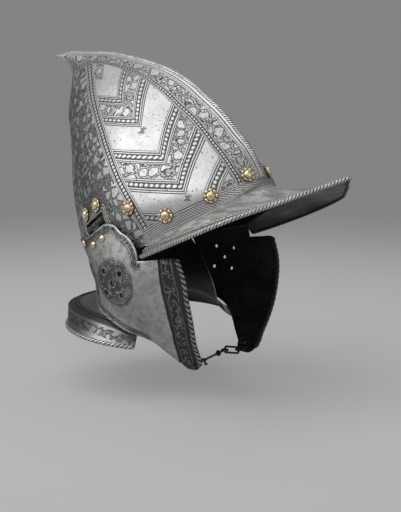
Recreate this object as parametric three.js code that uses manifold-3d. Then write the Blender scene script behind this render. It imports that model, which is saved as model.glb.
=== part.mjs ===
// Burgonet: keeled skull with a backward stalk, pointed brim, hinged cheekpieces and neck guard.
// Millimetres, +Z up, the wearer looks along -Y, and the wearer's left is +X.
import * as THREE from 'three';
import { mergeVertices } from 'three/addons/utils/BufferGeometryUtils.js';
import Module from 'manifold-3d';

const wasm = await Module();
wasm.setup();

// Skull
const SKULL_HALF_WIDTH = 86;
const SKULL_HALF_LENGTH = 112;
const SKULL_HEIGHT = 192.5;
const SKULL_PITCH = THREE.MathUtils.degToRad(22);
const PLATE = 1.6;
const SEAT_GAP = 0.3;
const INNER_SLACK = 1.0;
const OVERRUN = 40;
const BORE_RUN = 16;
// They bring t (1 - t) and t t (1 - t) to one at their tops
const BUMP = 4;
const LATE_BUMP = 27 / 4;
const SKULL_LEVELS = 22;
const SKULL_SIDE_POINTS = 20;
const HOLLOW_LEVELS = 16;
const HOLLOW_SIDE_POINTS = 20;
const RIDGE_ROLL = 2.4;
const RIDGE_STEPS = 24;
const RIDGE_END_SHARE = 0.985;
const TOP_CROWDING = 1.25;
const ROLL_RADIUS = 2.2;
const ROLL_CURVE = 4;
const OUTLINE_CURVE = 3;

// Stations up the skull, square to its pitched base. Each row holds the height as a share of the
// skull's height, its front and rear ends as shares of the half length, its half width as a share of
// the greatest one, and how pointed its front and rear ends are.
const skullShares = [
  [-0.365, 0.83, -0.945, 0.875, 0.60, 0.50],
  [-0.21, 0.89, -1.035, 0.955, 0.60, 0.50],
  [-0.078, 0.908, -1.07, 0.99, 0.62, 0.50],
  [-0.02, 0.925, -1.088, 1.0, 0.72, 0.50],
  [0.047, 0.915, -1.094, 0.988, 0.90, 0.51],
  [0.11, 0.896, -1.094, 0.965, 1.05, 0.52],
  [0.213, 0.826, -1.085, 0.912, 1.20, 0.55],
  [0.332, 0.734, -1.062, 0.824, 1.24, 0.60],
  [0.436, 0.62, -1.036, 0.718, 1.25, 0.66],
  [0.535, 0.504, -1.013, 0.612, 1.22, 0.70],
  [0.655, 0.308, -0.99, 0.47, 1.20, 0.77],
  [0.748, 0.09, -0.92, 0.33, 1.15, 0.82],
  [0.826, -0.125, -0.848, 0.212, 1.1, 0.85],
  [0.878, -0.295, -0.812, 0.13, 1.05, 0.88],
  [0.92, -0.505, -0.795, 0.082, 1.0, 0.9],
  [0.956, -0.67, -0.835, 0.053, 1.0, 0.9],
  [0.987, -0.84, -0.92, 0.03, 1.0, 0.9],
  [1.0, -0.95, -0.982, 0.014, 1.0, 0.9],
];
const LOWEST_SHARE = -0.365;
const HOLLOW_TOP_SHARE = 0.82;
const HOLLOW_BELOW_SHARE = 0.02;
const SLOPE_STEP_SHARE = 0.01;
const END_STEP_SHARE = 0.005;

// Brim, from its crease on the skull to its rolled edge
const FOOT_HEIGHT = 24;
const FOOT_INSET = 0.5;
const BRIM_REAR_SHARE = 0.193;
const BRIM_REAR_HEIGHT = -32.5;
const CREASE_DIP = 5.9;
const BRIM_CORNER_HEIGHT = -42;
const BRIM_WIDTH_SHARE = 1.186;
const BRIM_REACH = 95.8;
const BRIM_TIP_HEIGHT = 38.2;
const BRIM_ROOT_CROWDING = 0.75;
const BRIM_BOW = 3.5;
const BRIM_CAMBER = 3;
const BRIM_SAG = 7.5;
const BRIM_SAG_START_SHARE = 0.45;
const brimPlanShares = [
  [0, 0.878], [0.11, 0.94], [0.235, 0.985], [0.365, 1], [0.495, 0.98], [0.56, 0.945], [0.622, 0.895],
  [0.694, 0.76], [0.753, 0.607], [0.80, 0.50], [0.854, 0.375], [0.89, 0.265], [0.93, 0.16], [1, 0],
];
const BRIM_STEPS = 18;
const BRIM_RUNS = 5;

// Lower edge of the skull behind the brim, in side view
const EAR_EDGE_SHARE = 0.09;
const EAR_EDGE_HEIGHT = -37;
const NAPE_EDGE_SHARE = -0.982;
const NAPE_EDGE_HEIGHT = -68;
const CREASE_CUT_STEPS = 14;

// Cheekpieces: a plate that is a graph over the side view
const CHEEK_WIDTH_SHARE = 1.0756;
const CHEEK_DROP = 158;
const CHEEK_REACH = 65;
const CHEEK_FRONT_RADIUS = 143;
const CHEEK_REAR_RADIUS = 119;
const CHEEK_FLARE = 10.4;
const CHEEK_FLARE_LENGTH = 9;
const CHEEK_FLARE_FRONT_SHARE = -0.631;
const CHEEK_FLARE_HEIGHT_SHARE = -0.652;
const CHEEK_FLARE_SLOPE = THREE.MathUtils.degToRad(24.5);
const CHEEK_FLARE_END = -8;
const CHEEK_FLARE_FADE = 26;
const CHEEK_COLUMNS = 12;
const CHEEK_ROWS = 16;
// Height over the drop, half width over the greatest, and place of the bulge over the reach
const cheekShares = [
  [-1.075, 0.357, 0.65], [-1.0, 0.476, 0.55], [-0.918, 0.584, 0.42], [-0.854, 0.665, 0.31],
  [-0.797, 0.741, 0.23], [-0.67, 0.86, 0.123], [-0.525, 0.962, 0.015], [-0.456, 0.989, -0.015],
  [-0.38, 1.0, -0.046], [-0.247, 0.992, -0.077], [-0.095, 0.9645, -0.092], [0.063, 0.946, -0.108],
];
// Outline over the reach and the drop, from the rear of the hinge along the lobe and round
const lobeShares = [
  [-0.28, -0.095], [-0.16, -0.102], [-0.065, -0.13], [0.108, -0.163], [0.21, -0.207], [0.265, -0.25],
  [0.29, -0.298],
];
const browShares = [[0.523, -0.282], [0.758, -0.264], [0.862, -0.264]];
const cheekFrontShares = [[0.97, -0.389], [1.0, -0.511], [1.003, -0.672], [0.942, -0.858], [0.937, -0.915]];
const chinShares = [[0.903, -0.965], [0.80, -0.998], [0.655, -0.999]];
const jawShares = [[0.508, -0.939], [0.391, -0.892], [0.275, -0.841], [0.185, -0.81]];
const napeShares = [
  [-0.59, -0.655], [-0.666, -0.575], [-0.642, -0.478], [-0.728, -0.406], [-0.805, -0.322], [-0.852, -0.268],
];
const jawCornerShare = [0.143, -0.8013];
const hearingShare = [-0.2154, -0.4589];
const HEARING_HOLE_RADIUS = 1.8;
const HEARING_HOLE_PITCH = 10.8;
// Reach of the sheet that the outline is cut from, in shares of the drop and of the reach
const CHEEK_SHEET_SHARES = { low: -1.04, high: 0.02, rear: -0.85, front: 1.03 };
const CHEEK_ROLL_STEPS = 20;

// Neck guard
const GUARD_PLATE = 1.3;
const GUARD_TOP_SHARE = -0.03;
const GUARD_SEAM_SHARE = -0.18;
const GUARD_TOP_TURN = THREE.MathUtils.degToRad(125);
const GUARD_SEAM_TURN = THREE.MathUtils.degToRad(119);
// Hollow of the flare under the waist: how far out and how far down it lies between waist and crease
const SAG_OUT_SHARE = 0.5;
const SAG_DOWN_SHARE = 0.74;
const GUARD_STEPS = 26;
const GUARD_RUNS = 4;
// Each ring: half width over the skull's, lengths to the rear and front of its centre over the skull's
// half length, swing from the rear in degrees, heights at its rear and front ends, and how late it drops
const WAIST = {
  halfShare: 0.721, rearShare: 0.554, frontShare: 0.554, centreShare: -0.223, swing: 108,
  rearHeight: -90, frontHeight: -93, late: 3,
};
const CREASE = {
  halfShare: 1.0116, rearShare: 0.848, frontShare: 0.545, centreShare: -0.295, swing: 124,
  rearHeight: -111, frontHeight: -127, late: 4,
};
const RIM = {
  halfShare: BRIM_WIDTH_SHARE, rearShare: 0.741, frontShare: 0.607, centreShare: -0.295, swing: 126,
  rearHeight: -124, frontHeight: -134.5, late: 2.5,
};

// Hinges
const HINGE_FRONT_SHARE = -0.402;
const HINGE_HEIGHT = -19.5;
const HINGE_SLOPE = THREE.MathUtils.degToRad(31);
const HINGE_LENGTH = 36;
const HINGE_SLOT = 13;
const KNUCKLE_RADIUS = 2.8;
const PIN_RADIUS = 1.2;
const LEAF = 1.2;
const LEAF_DEPTH = 16;
const LEAF_LENGTH = 31.5;
const HINGE_ROSETTES = { rear: -12.5, front: 12.5, across: -15.5 };
const HINGE_DOMES = { rear: -3.5, front: 12.5, across: 18 };

// Rivets
const HEAD_GAP = 0.45;
const SEAT_TRIES = 12;
const SHANK_RADIUS = 1.4;
const ROSETTE_RADIUS = 7;
const ROSETTE_HEIGHT = 4.2;
const PETALS = 8;
// Radius and height of each ring of a rosette, and how deep its petals are cut
const rosetteShares = [[0.34, 1.0, 0], [0.5, 0.45, 0], [0.82, 0.5, 0.05], [0.96, 0, 0.07]];
const DOME_RADIUS = 3.6;
const DOME_HEIGHT = 2.6;
const DOME_STEPS = 3;
const RIVET_SIDES = 12;
const CLENCH_RADIUS = 2.8;
const CLENCH_HEIGHT = 1.0;
// Front over the brim's foot, and height above the crease over the skull's height
const liningRivetShares = [[0.03, 0.1787], [0.412, 0.0909], [0.753, 0.0805], [0.928, 0.0925]];
const NAPE_RIVET_SHARE = -0.634;
const NAPE_RIVET_HEIGHT = -42;
const BORE_SIDES = 8;
const RIVET_SLACK = 1.5;

// Lining band
const BAND = 1.5;
const BAND_WIDTH = 12;
const BAND_REAR_SHARE = -0.08;
const BAND_FRONT_SHARE = 0.954;
const BAND_STEPS = 14;
const BAND_CROSSING = 3;

// Chin fastening: a link and a hook that run from a disc in the left cheek to an eye in the right
const WIRE = 1.1;
const CHAIN_RING = 3;
const WIRE_SIDES = 6;
const RING_STEPS = 12;
const DISC_RADIUS = 8;
const DISC = 1.5;
const discShare = [0.68, -0.957];
const STAPLE_DROP = 9;
const STAPLE_REACH = 3.2;
const LINK_LENGTH = 27;
const LINK_SLOPE = THREE.MathUtils.degToRad(14.5);
const eyeShare = [0.8077, -0.9589];
const EYE_REACH = 8;
const EYE_FORWARD = 6;
const EYE_SHANK = 1.2;
const COLLAR_PLACE = 17;
const COLLAR_RADIUS = 2.0;
const HOOK_SLACK = 0.8;
const HOOK_RADIUS = 2.6;

// Place in the skull where the head rests, which is the origin of the part
const HEAD_REST_FRONT = -10;
const HEAD_REST_HEIGHT = 85;

const at = (side, forward, up) => new THREE.Vector3(side, -forward, up);
const mix = THREE.MathUtils.lerp;
const BRIM_HALF_WIDTH = BRIM_WIDTH_SHARE * SKULL_HALF_WIDTH;
const CHEEK_HALF_WIDTH = CHEEK_WIDTH_SHARE * SKULL_HALF_WIDTH;
const BRIM_REAR = BRIM_REAR_SHARE * SKULL_HALF_LENGTH;
const LINING_RIVET_DEPTH = PLATE + INNER_SLACK + BAND + RIVET_SLACK;
const NAPE_RIVET_DEPTH = PLATE + GUARD_PLATE + INNER_SLACK + 3 * SEAT_GAP;
const HINGE_FRONT = HINGE_FRONT_SHARE * SKULL_HALF_LENGTH;
const finish = {
  steel: { color: 0x8d8f90, roughness: 0.42, metalness: 0.9 },
  darkSteel: { color: 0x4b4c4d, roughness: 0.5, metalness: 0.85 },
  gilt: { color: 0xc9a465, roughness: 0.35, metalness: 0.95 },
  leather: { color: 0x3a2a1d, roughness: 0.85, metalness: 0.0 },
};

// Smooth monotone curve through one column of a station table
function stationCurve(rows, column) {
  const steps = rows.slice(1).map((row, i) => row[0] - rows[i][0]);
  const slopes = steps.map((step, i) => (rows[i + 1][column] - rows[i][column]) / step);
  const tangents = rows.map((row, i) => {
    const before = slopes[Math.max(i - 1, 0)];
    const after = slopes[Math.min(i, slopes.length - 1)];
    return before * after <= 0 ? 0 : 2 * before * after / (before + after);
  });
  return (share) => {
    const limit = rows.length - 2;
    let i = 0;
    while (i < limit && share > rows[i + 1][0]) i += 1;
    const t = THREE.MathUtils.clamp((share - rows[i][0]) / steps[i], 0, 1);
    const rise = rows[i + 1][column] - rows[i][column];
    const hump = tangents[i] * steps[i] * t * (1 - t) ** 2;
    const dip = tangents[i + 1] * steps[i] * t * t * (1 - t);
    return rows[i][column] + rise * t * t * (3 - 2 * t) + hump - dip;
  };
}

const skullCurves = [1, 2, 3, 4, 5].map((column) => stationCurve(skullShares, column));
const brimPlan = stationCurve(brimPlanShares, 1);
const cheekWidth = stationCurve(cheekShares, 1);
const cheekBulge = stationCurve(cheekShares, 2);

function skullStation(share) {
  const [front, rear, half, frontPoint, rearPoint] = skullCurves.map((curve) => curve(share));
  return {
    middle: (front + rear) / 2 * SKULL_HALF_LENGTH,
    reach: (front - rear) / 2 * SKULL_HALF_LENGTH,
    half: half * SKULL_HALF_WIDTH,
    frontPoint,
    rearPoint,
  };
}

// Half width of a skull station at a share along it: 1 at the front end and -1 at the rear end
function stationHalf(station, along) {
  const sharpness = mix(station.rearPoint, station.frontPoint, (1 + along) / 2);
  return station.half * Math.max(1 - along * along, 0) ** sharpness;
}

function fromPitched(side, forward, height) {
  const cos = Math.cos(SKULL_PITCH);
  const sin = Math.sin(SKULL_PITCH);
  return at(side, forward * cos - height * sin, forward * sin + height * cos);
}

function skullPoint(share, turn, side = 1, grown = 0) {
  const station = skullStation(share);
  const along = Math.cos(turn);
  const forward = station.middle + (station.reach + grown) * along;
  const half = stationHalf(station, along) * (station.half + grown) / station.half;
  return fromPitched(side * half, forward, share * SKULL_HEIGHT);
}

// How far forward the skull's keel stands at a height
function skullFrontAt(height) {
  let low = LOWEST_SHARE;
  let high = 1 / 2;
  for (let i = 0; i < 40; i += 1) {
    const share = (low + high) / 2;
    if (skullPoint(share, 0).z < height) low = share;
    else high = share;
  }
  return -skullPoint(low, 0).y;
}

const FOOT_FRONT = skullFrontAt(FOOT_HEIGHT) - FOOT_INSET;

// Half width of the skull's outside over a place in side view
function skullHalf(forward, up) {
  const cos = Math.cos(SKULL_PITCH);
  const sin = Math.sin(SKULL_PITCH);
  const station = skullStation((up * cos - forward * sin) / SKULL_HEIGHT);
  const along = (forward * cos + up * sin - station.middle) / station.reach;
  return stationHalf(station, THREE.MathUtils.clamp(along, -1, 1));
}

function cheekHalf(forward, up) {
  const share = up / CHEEK_DROP;
  const off = forward - cheekBulge(share) * CHEEK_REACH;
  const radius = off > 0 ? CHEEK_FRONT_RADIUS : CHEEK_REAR_RADIUS;
  const along = (forward - CHEEK_FLARE_FRONT_SHARE * CHEEK_REACH) * Math.sin(CHEEK_FLARE_SLOPE);
  const away = along + (up - CHEEK_FLARE_HEIGHT_SHARE * CHEEK_DROP) * Math.cos(CHEEK_FLARE_SLOPE);
  const fade = 1 - THREE.MathUtils.smoothstep(forward, CHEEK_FLARE_END, CHEEK_FLARE_END + CHEEK_FLARE_FADE);
  const flare = CHEEK_FLARE * fade * Math.exp(-Math.max(away / CHEEK_FLARE_LENGTH, -1 / 2));
  return cheekWidth(share) * CHEEK_HALF_WIDTH - off * off / (2 * radius) + flare;
}

// Outward normal of a graph over the side view, on the side that is 1 or -1
function graphNormal(half, forward, up, side) {
  const step = PLATE / 4;
  const slopeForward = (half(forward + step, up) - half(forward - step, up)) / (2 * step);
  const slopeUp = (half(forward, up + step) - half(forward, up - step)) / (2 * step);
  return at(side, -slopeForward, -slopeUp).normalize();
}

function graphPoint(half, forward, up, side) {
  return at(side * half(forward, up), forward, up);
}

// Booleans
function solid(geometry) {
  const bare = geometry.index ? geometry.toNonIndexed() : geometry.clone();
  bare.deleteAttribute('normal');
  bare.deleteAttribute('uv');
  const merged = mergeVertices(bare, 1e-4);
  const mesh = new wasm.Mesh({
    numProp: 3,
    vertProperties: Float32Array.from(merged.attributes.position.array),
    triVerts: Uint32Array.from(merged.index.array),
  });
  return new wasm.Manifold(mesh);
}

function geometryOf(manifold) {
  const mesh = manifold.getMesh();
  const geometry = new THREE.BufferGeometry();
  geometry.setAttribute('position', new THREE.BufferAttribute(mesh.vertProperties, 3));
  geometry.setIndex(new THREE.BufferAttribute(mesh.triVerts, 1));
  geometry.computeVertexNormals();
  return geometry;
}

function enclosedVolume(positions, triangles) {
  let total = 0;
  for (let i = 0; i < triangles.length; i += 3) {
    const [a, b, c] = [0, 1, 2].map((k) => positions[triangles[i + k]]);
    total += a.dot(b.clone().cross(c)) / 6;
  }
  return total;
}

function closedGeometry(positions, triangles) {
  const turned = [];
  for (let i = 0; i < triangles.length; i += 3) {
    turned.push(triangles[i], triangles[i + 2], triangles[i + 1]);
  }
  const geometry = new THREE.BufferGeometry();
  geometry.setFromPoints(positions);
  geometry.setIndex(enclosedVolume(positions, triangles) < 0 ? turned : triangles);
  return geometry;
}

// Closed body between two like grids of points: rows of points, outside and inside
function plateBetween(outside, inside) {
  const rows = outside.length;
  const columns = outside[0].length;
  const positions = [...outside.flat(), ...inside.flat()];
  const outer = (r, c) => r * columns + c;
  const inner = (r, c) => rows * columns + r * columns + c;
  const triangles = [];
  const quad = (a, b, c, d) => triangles.push(a, b, c, a, c, d);
  for (let r = 0; r < rows - 1; r += 1) {
    for (let c = 0; c < columns - 1; c += 1) {
      quad(outer(r, c), outer(r, c + 1), outer(r + 1, c + 1), outer(r + 1, c));
      quad(inner(r, c), inner(r + 1, c), inner(r + 1, c + 1), inner(r, c + 1));
    }
  }
  for (let c = 0; c < columns - 1; c += 1) {
    quad(outer(0, c), inner(0, c), inner(0, c + 1), outer(0, c + 1));
    quad(outer(rows - 1, c), outer(rows - 1, c + 1), inner(rows - 1, c + 1), inner(rows - 1, c));
  }
  for (let r = 0; r < rows - 1; r += 1) {
    quad(outer(r, 0), outer(r + 1, 0), inner(r + 1, 0), inner(r, 0));
    quad(outer(r, columns - 1), inner(r, columns - 1), inner(r + 1, columns - 1), outer(r + 1, columns - 1));
  }
  return closedGeometry(positions, triangles);
}

// Closed body through like rings of points, capped at both ends
function loft(rings) {
  const count = rings[0].length;
  const positions = rings.flat();
  const middle = (ring) => ring.reduce((sum, p) => sum.add(p), new THREE.Vector3()).divideScalar(count);
  const bottom = positions.push(middle(rings[0])) - 1;
  const top = positions.push(middle(rings[rings.length - 1])) - 1;
  const triangles = [];
  const place = (r, c) => r * count + c % count;
  for (let r = 0; r < rings.length - 1; r += 1) {
    for (let c = 0; c < count; c += 1) {
      triangles.push(place(r, c), place(r, c + 1), place(r + 1, c + 1));
      triangles.push(place(r, c), place(r + 1, c + 1), place(r + 1, c));
    }
  }
  for (let c = 0; c < count; c += 1) {
    triangles.push(bottom, place(0, c + 1), place(0, c));
    triangles.push(top, place(rings.length - 1, c), place(rings.length - 1, c + 1));
  }
  return closedGeometry(positions, triangles);
}

// Rolled edge or wire along a path
function roll(points, radius, steps, closed = false) {
  const outline = new THREE.Shape();
  outline.absarc(0, 0, radius, 0, Math.PI * 2);
  const path = new THREE.CatmullRomCurve3(points, closed, 'centripetal');
  return new THREE.ExtrudeGeometry(outline, {
    steps, curveSegments: ROLL_CURVE, bevelEnabled: false, extrudePath: path,
  });
}

// Prism across the helmet whose outline is drawn in side view
function sidePrism(outline, halfWidth) {
  const geometry = new THREE.ExtrudeGeometry(outline, {
    depth: 2 * halfWidth, curveSegments: OUTLINE_CURVE, bevelEnabled: false,
  });
  geometry.translate(0, 0, -halfWidth);
  const basis = new THREE.Matrix4().makeBasis(
    new THREE.Vector3(0, -1, 0), new THREE.Vector3(0, 0, 1), new THREE.Vector3(-1, 0, 0));
  return geometry.applyMatrix4(basis);
}

function outlineOf(points) {
  return new THREE.Shape(points.map(([forward, up]) => new THREE.Vector2(forward, up)));
}

// Frame whose Z runs out along a direction and whose X follows a hint
function frameAt(origin, out, hint = new THREE.Vector3(0, 0, 1)) {
  const x = hint.clone().addScaledVector(out, -hint.dot(out)).normalize();
  const y = out.clone().cross(x);
  return new THREE.Matrix4().makeBasis(x, y, out.clone()).setPosition(origin);
}

function bore(origin, out, radius, reach) {
  const cylinder = new THREE.CylinderGeometry(radius, radius, 2 * reach, BORE_SIDES);
  cylinder.rotateX(Math.PI / 2);
  return solid(cylinder.applyMatrix4(frameAt(origin, out)));
}

// Skull: outside, hollow, ridge roll and brim
function skullOutside() {
  const rings = [];
  for (let i = 0; i <= SKULL_LEVELS; i += 1) {
    const rise = i / SKULL_LEVELS;
    const share = mix(LOWEST_SHARE, 1, 1 - (1 - rise) ** TOP_CROWDING);
    const ring = [];
    for (let j = 0; j <= SKULL_SIDE_POINTS; j += 1) {
      ring.push(skullPoint(share, Math.PI * j / SKULL_SIDE_POINTS, 1));
    }
    for (let j = SKULL_SIDE_POINTS - 1; j > 0; j -= 1) {
      ring.push(skullPoint(share, Math.PI * j / SKULL_SIDE_POINTS, -1));
    }
    rings.push(ring);
  }
  return loft(rings);
}

// Half width of the hollow inside a station, one plate in from the outside
function hollowHalf(share, along) {
  const station = skullStation(share);
  const step = SLOPE_STEP_SHARE;
  const reach = station.reach;
  const half = stationHalf(station, along);
  const slopeAlong = (half - stationHalf(station, along - step)) / (step * reach);
  const above = skullStation(share + step);
  const moved = (station.middle + reach * along - above.middle) / above.reach;
  const slopeUp = (stationHalf(above, THREE.MathUtils.clamp(moved, -1, 1)) - half) / (step * SKULL_HEIGHT);
  return half - PLATE * Math.hypot(1, slopeAlong, slopeUp);
}

function hollowEnd(share, direction) {
  let along = 0;
  const step = END_STEP_SHARE;
  while (Math.abs(along) < 1 && hollowHalf(share, along + direction * step) > SEAT_GAP) {
    along += direction * step;
  }
  return along;
}

function skullHollow() {
  const rings = [];
  for (let i = 0; i <= HOLLOW_LEVELS; i += 1) {
    const share = mix(LOWEST_SHARE - HOLLOW_BELOW_SHARE, HOLLOW_TOP_SHARE, i / HOLLOW_LEVELS);
    const station = skullStation(share);
    const front = hollowEnd(share, 1);
    const rear = hollowEnd(share, -1);
    const place = (turn, side) => {
      const along = mix(rear, front, (1 + Math.cos(turn)) / 2);
      const half = Math.max(hollowHalf(share, along), 0);
      const forward = station.middle + station.reach * along;
      return fromPitched(side * half, forward, share * SKULL_HEIGHT);
    };
    const ring = [];
    for (let j = 0; j <= HOLLOW_SIDE_POINTS; j += 1) ring.push(place(Math.PI * j / HOLLOW_SIDE_POINTS, 1));
    for (let j = HOLLOW_SIDE_POINTS - 1; j > 0; j -= 1) {
      ring.push(place(Math.PI * j / HOLLOW_SIDE_POINTS, -1));
    }
    rings.push(ring);
  }
  return loft(rings);
}

function creaseHeight(forward) {
  const t = (forward - BRIM_REAR) / (FOOT_FRONT - BRIM_REAR);
  return mix(BRIM_REAR_HEIGHT, FOOT_HEIGHT, t) - LATE_BUMP * CREASE_DIP * t * t * (1 - t);
}

function brimEdge(t) {
  const half = brimPlan(t) * BRIM_HALF_WIDTH;
  const up = mix(BRIM_CORNER_HEIGHT, BRIM_TIP_HEIGHT, t) - BUMP * BRIM_BOW * t * (1 - t);
  return [half, mix(BRIM_REAR, FOOT_FRONT + BRIM_REACH, t), up];
}

// The brim bulges beside the skull and sags along its middle towards the tip
function brimCamber(t) {
  const sag = THREE.MathUtils.smoothstep(t, BRIM_SAG_START_SHARE, 1);
  return Math.min(1, 2 * t) * mix(BRIM_CAMBER, -BRIM_SAG, sag);
}

function brimRow(t, side) {
  const forward = mix(BRIM_REAR, FOOT_FRONT, t ** BRIM_ROOT_CROWDING);
  const rootUp = creaseHeight(forward);
  const root = [Math.max(skullHalf(forward, rootUp) - PLATE / 2, 0), forward - PLATE / 2, rootUp];
  const edge = brimEdge(t);
  const bump = BUMP * brimCamber(t);
  const row = [];
  for (let run = 0; run <= BRIM_RUNS; run += 1) {
    const share = run / BRIM_RUNS;
    const [half, front, up] = root.map((value, k) => mix(value, edge[k], share));
    row.push(at(side * half, front, up + bump * share * (1 - share)));
  }
  return row;
}

function brimGrid() {
  const rows = [];
  for (let i = 0; i <= BRIM_STEPS; i += 1) rows.push(brimRow(i / BRIM_STEPS, -1));
  for (let i = BRIM_STEPS - 1; i >= 0; i -= 1) rows.push(brimRow(i / BRIM_STEPS, 1));
  return rows;
}

function brimPlate() {
  const top = brimGrid();
  const under = top.map((row) => row.map((p) => p.clone().add(new THREE.Vector3(0, 0, -PLATE))));
  return plateBetween(top, under);
}

function brimRoll() {
  const edge = brimGrid().map((row) => row[BRIM_RUNS].clone().add(new THREE.Vector3(0, 0, -PLATE / 2)));
  return roll(edge, ROLL_RADIUS, 2 * BRIM_STEPS);
}

function ridgeRoll() {
  const points = [];
  for (let i = 0; i <= RIDGE_STEPS; i += 1) {
    const share = mix(0, RIDGE_END_SHARE, i / RIDGE_STEPS);
    points.push(skullPoint(share, 0).add(at(0, -RIDGE_ROLL / 2, -RIDGE_ROLL / 2)));
  }
  return roll(points, RIDGE_ROLL, RIDGE_STEPS);
}

const hingeAlong = [Math.cos(HINGE_SLOPE), Math.sin(HINGE_SLOPE)];
const hingeAcross = [Math.sin(HINGE_SLOPE), -Math.cos(HINGE_SLOPE)];

function hingePlace(along, across) {
  return [
    HINGE_FRONT + hingeAlong[0] * along + hingeAcross[0] * across,
    HINGE_HEIGHT + hingeAlong[1] * along + hingeAcross[1] * across,
  ];
}

function slotOutline(margin) {
  const along = HINGE_LENGTH / 2 + margin;
  const across = HINGE_SLOT / 2;
  return [
    hingePlace(-along, -across), hingePlace(along, -across),
    hingePlace(along, across + OVERRUN), hingePlace(-along, across + OVERRUN),
  ];
}

function belowSkull() {
  const edge = [];
  const napeFront = NAPE_EDGE_SHARE * SKULL_HALF_LENGTH;
  const lowest = NAPE_EDGE_HEIGHT - SKULL_HEIGHT;
  for (let i = 0; i <= CREASE_CUT_STEPS; i += 1) {
    const forward = mix(BRIM_REAR, FOOT_FRONT + PLATE, i / CREASE_CUT_STEPS);
    edge.push([forward, creaseHeight(Math.min(forward, FOOT_FRONT)) - PLATE]);
  }
  return outlineOf([
    ...edge,
    [FOOT_FRONT + OVERRUN, FOOT_HEIGHT - PLATE],
    [FOOT_FRONT + OVERRUN, lowest],
    [napeFront - OVERRUN, lowest],
    [napeFront - OVERRUN, NAPE_EDGE_HEIGHT],
    [napeFront, NAPE_EDGE_HEIGHT],
    [EAR_EDGE_SHARE * SKULL_HALF_LENGTH, EAR_EDGE_HEIGHT],
  ]);
}

const liningRivets = liningRivetShares.map(([frontShare, riseShare]) => {
  const front = frontShare * FOOT_FRONT;
  return { front, height: creaseHeight(Math.max(front, BRIM_REAR)) + riseShare * SKULL_HEIGHT };
});

// Rivets: each has its seat on a plate, the way out and the depth that it reaches
function skullSeat(front, height, side) {
  return {
    origin: graphPoint(skullHalf, front, height, side),
    out: graphNormal(skullHalf, front, height, side),
  };
}

function cheekSeat(front, height, side) {
  return {
    origin: graphPoint(cheekHalf, front, height, side),
    out: graphNormal(cheekHalf, front, height, side),
  };
}

function shankProfile(depth) {
  return [
    new THREE.Vector2(SHANK_RADIUS, 0), new THREE.Vector2(SHANK_RADIUS, -depth),
    new THREE.Vector2(CLENCH_RADIUS, -depth), new THREE.Vector2(CLENCH_RADIUS, -depth - CLENCH_HEIGHT),
    new THREE.Vector2(0, -depth - CLENCH_HEIGHT),
  ];
}

function seated(geometry, seat) {
  geometry.rotateX(Math.PI / 2);
  const origin = seat.origin.clone().addScaledVector(seat.out, HEAD_GAP);
  return geometry.applyMatrix4(frameAt(origin, seat.out));
}

// Domed rivet: a cap, its shank and its clenched end
function domeRivet(seat, depth) {
  const cap = [];
  for (let i = 0; i <= DOME_STEPS; i += 1) {
    const turn = Math.PI / 2 * i / DOME_STEPS;
    cap.push(new THREE.Vector2(DOME_RADIUS * Math.sin(turn), DOME_HEIGHT * Math.cos(turn)));
  }
  const profile = [...cap, ...shankProfile(depth + HEAD_GAP)].reverse();
  return solid(seated(new THREE.LatheGeometry(profile, RIVET_SIDES), seat));
}

// Rosette: a ring of petals round a boss, on a shank with a clenched end
function rosetteRivet(seat, depth) {
  const rings = rosetteShares
    .map(([radius, height, lobe]) => [radius * ROSETTE_RADIUS, height * ROSETTE_HEIGHT, lobe]);
  const shank = shankProfile(depth + HEAD_GAP).slice(0, -1).map((p) => [p.x, p.y, 0]);
  const segments = 2 * PETALS;
  const circles = [...rings, ...shank].map(([radius, height, lobe]) => {
    const ring = [];
    for (let k = 0; k < segments; k += 1) {
      const turn = Math.PI * 2 * k / segments;
      const reach = radius * (1 + lobe * Math.cos(PETALS * turn));
      ring.push(new THREE.Vector3(reach * Math.cos(turn), height, reach * Math.sin(turn)));
    }
    return ring;
  });
  return solid(seated(loft(circles), seat));
}

function rivetBore(seat) {
  return bore(seat.origin, seat.out, SHANK_RADIUS + SEAT_GAP, BORE_RUN);
}

// Hinge frames: X along the pin, Y across the leaves and downward, Z outward
function hingeFrame(side) {
  const end = (along) => {
    const [forward, up] = hingePlace(along, 0);
    return at(side * (skullHalf(forward, up) + SEAT_GAP), forward, up);
  };
  const rear = end(-HINGE_LENGTH / 2);
  const front = end(HINGE_LENGTH / 2);
  const along = front.clone().sub(rear).normalize();
  const middle = front.add(rear).divideScalar(2);
  const sideways = new THREE.Vector3(side, 0, 0);
  const out = sideways.addScaledVector(along, -sideways.dot(along)).normalize();
  return new THREE.Matrix4().makeBasis(along, out.clone().cross(along), out).setPosition(middle);
}

function hingeY(side) {
  const down = new THREE.Vector3().setFromMatrixColumn(hingeFrame(side), 1);
  return down.z < 0 ? 1 : -1;
}

function boxSolid(lengthX, lengthY, lengthZ, x, y, z) {
  const box = new THREE.BoxGeometry(lengthX, lengthY, lengthZ);
  box.translate(x, y, z);
  return solid(box);
}

function barrel(from, to, radius) {
  const cylinder = new THREE.CylinderGeometry(radius, radius, to - from, RIVET_SIDES);
  cylinder.rotateZ(Math.PI / 2);
  cylinder.translate((from + to) / 2, 0, 0);
  return solid(cylinder);
}

const KNUCKLE_END = HINGE_LENGTH / 2 - LEAF - 2 * SEAT_GAP;
const KNUCKLE_HALF = HINGE_LENGTH / 6;
// Where a hinge rivet stands: the seat on the plate that it goes through
function hingeSeat(side, along, across, half) {
  const frame = hingeFrame(side);
  const out = new THREE.Vector3().setFromMatrixColumn(frame, 2);
  const down = hingeY(side);
  const origin = new THREE.Vector3(along, down * across, 0).applyMatrix4(frame);
  for (let i = 0; i < SEAT_TRIES; i += 1) {
    const gap = half(-origin.y, origin.z) - side * origin.x;
    origin.addScaledVector(out, gap);
  }
  return { origin, out: graphNormal(half, -origin.y, origin.z, side) };
}

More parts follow.
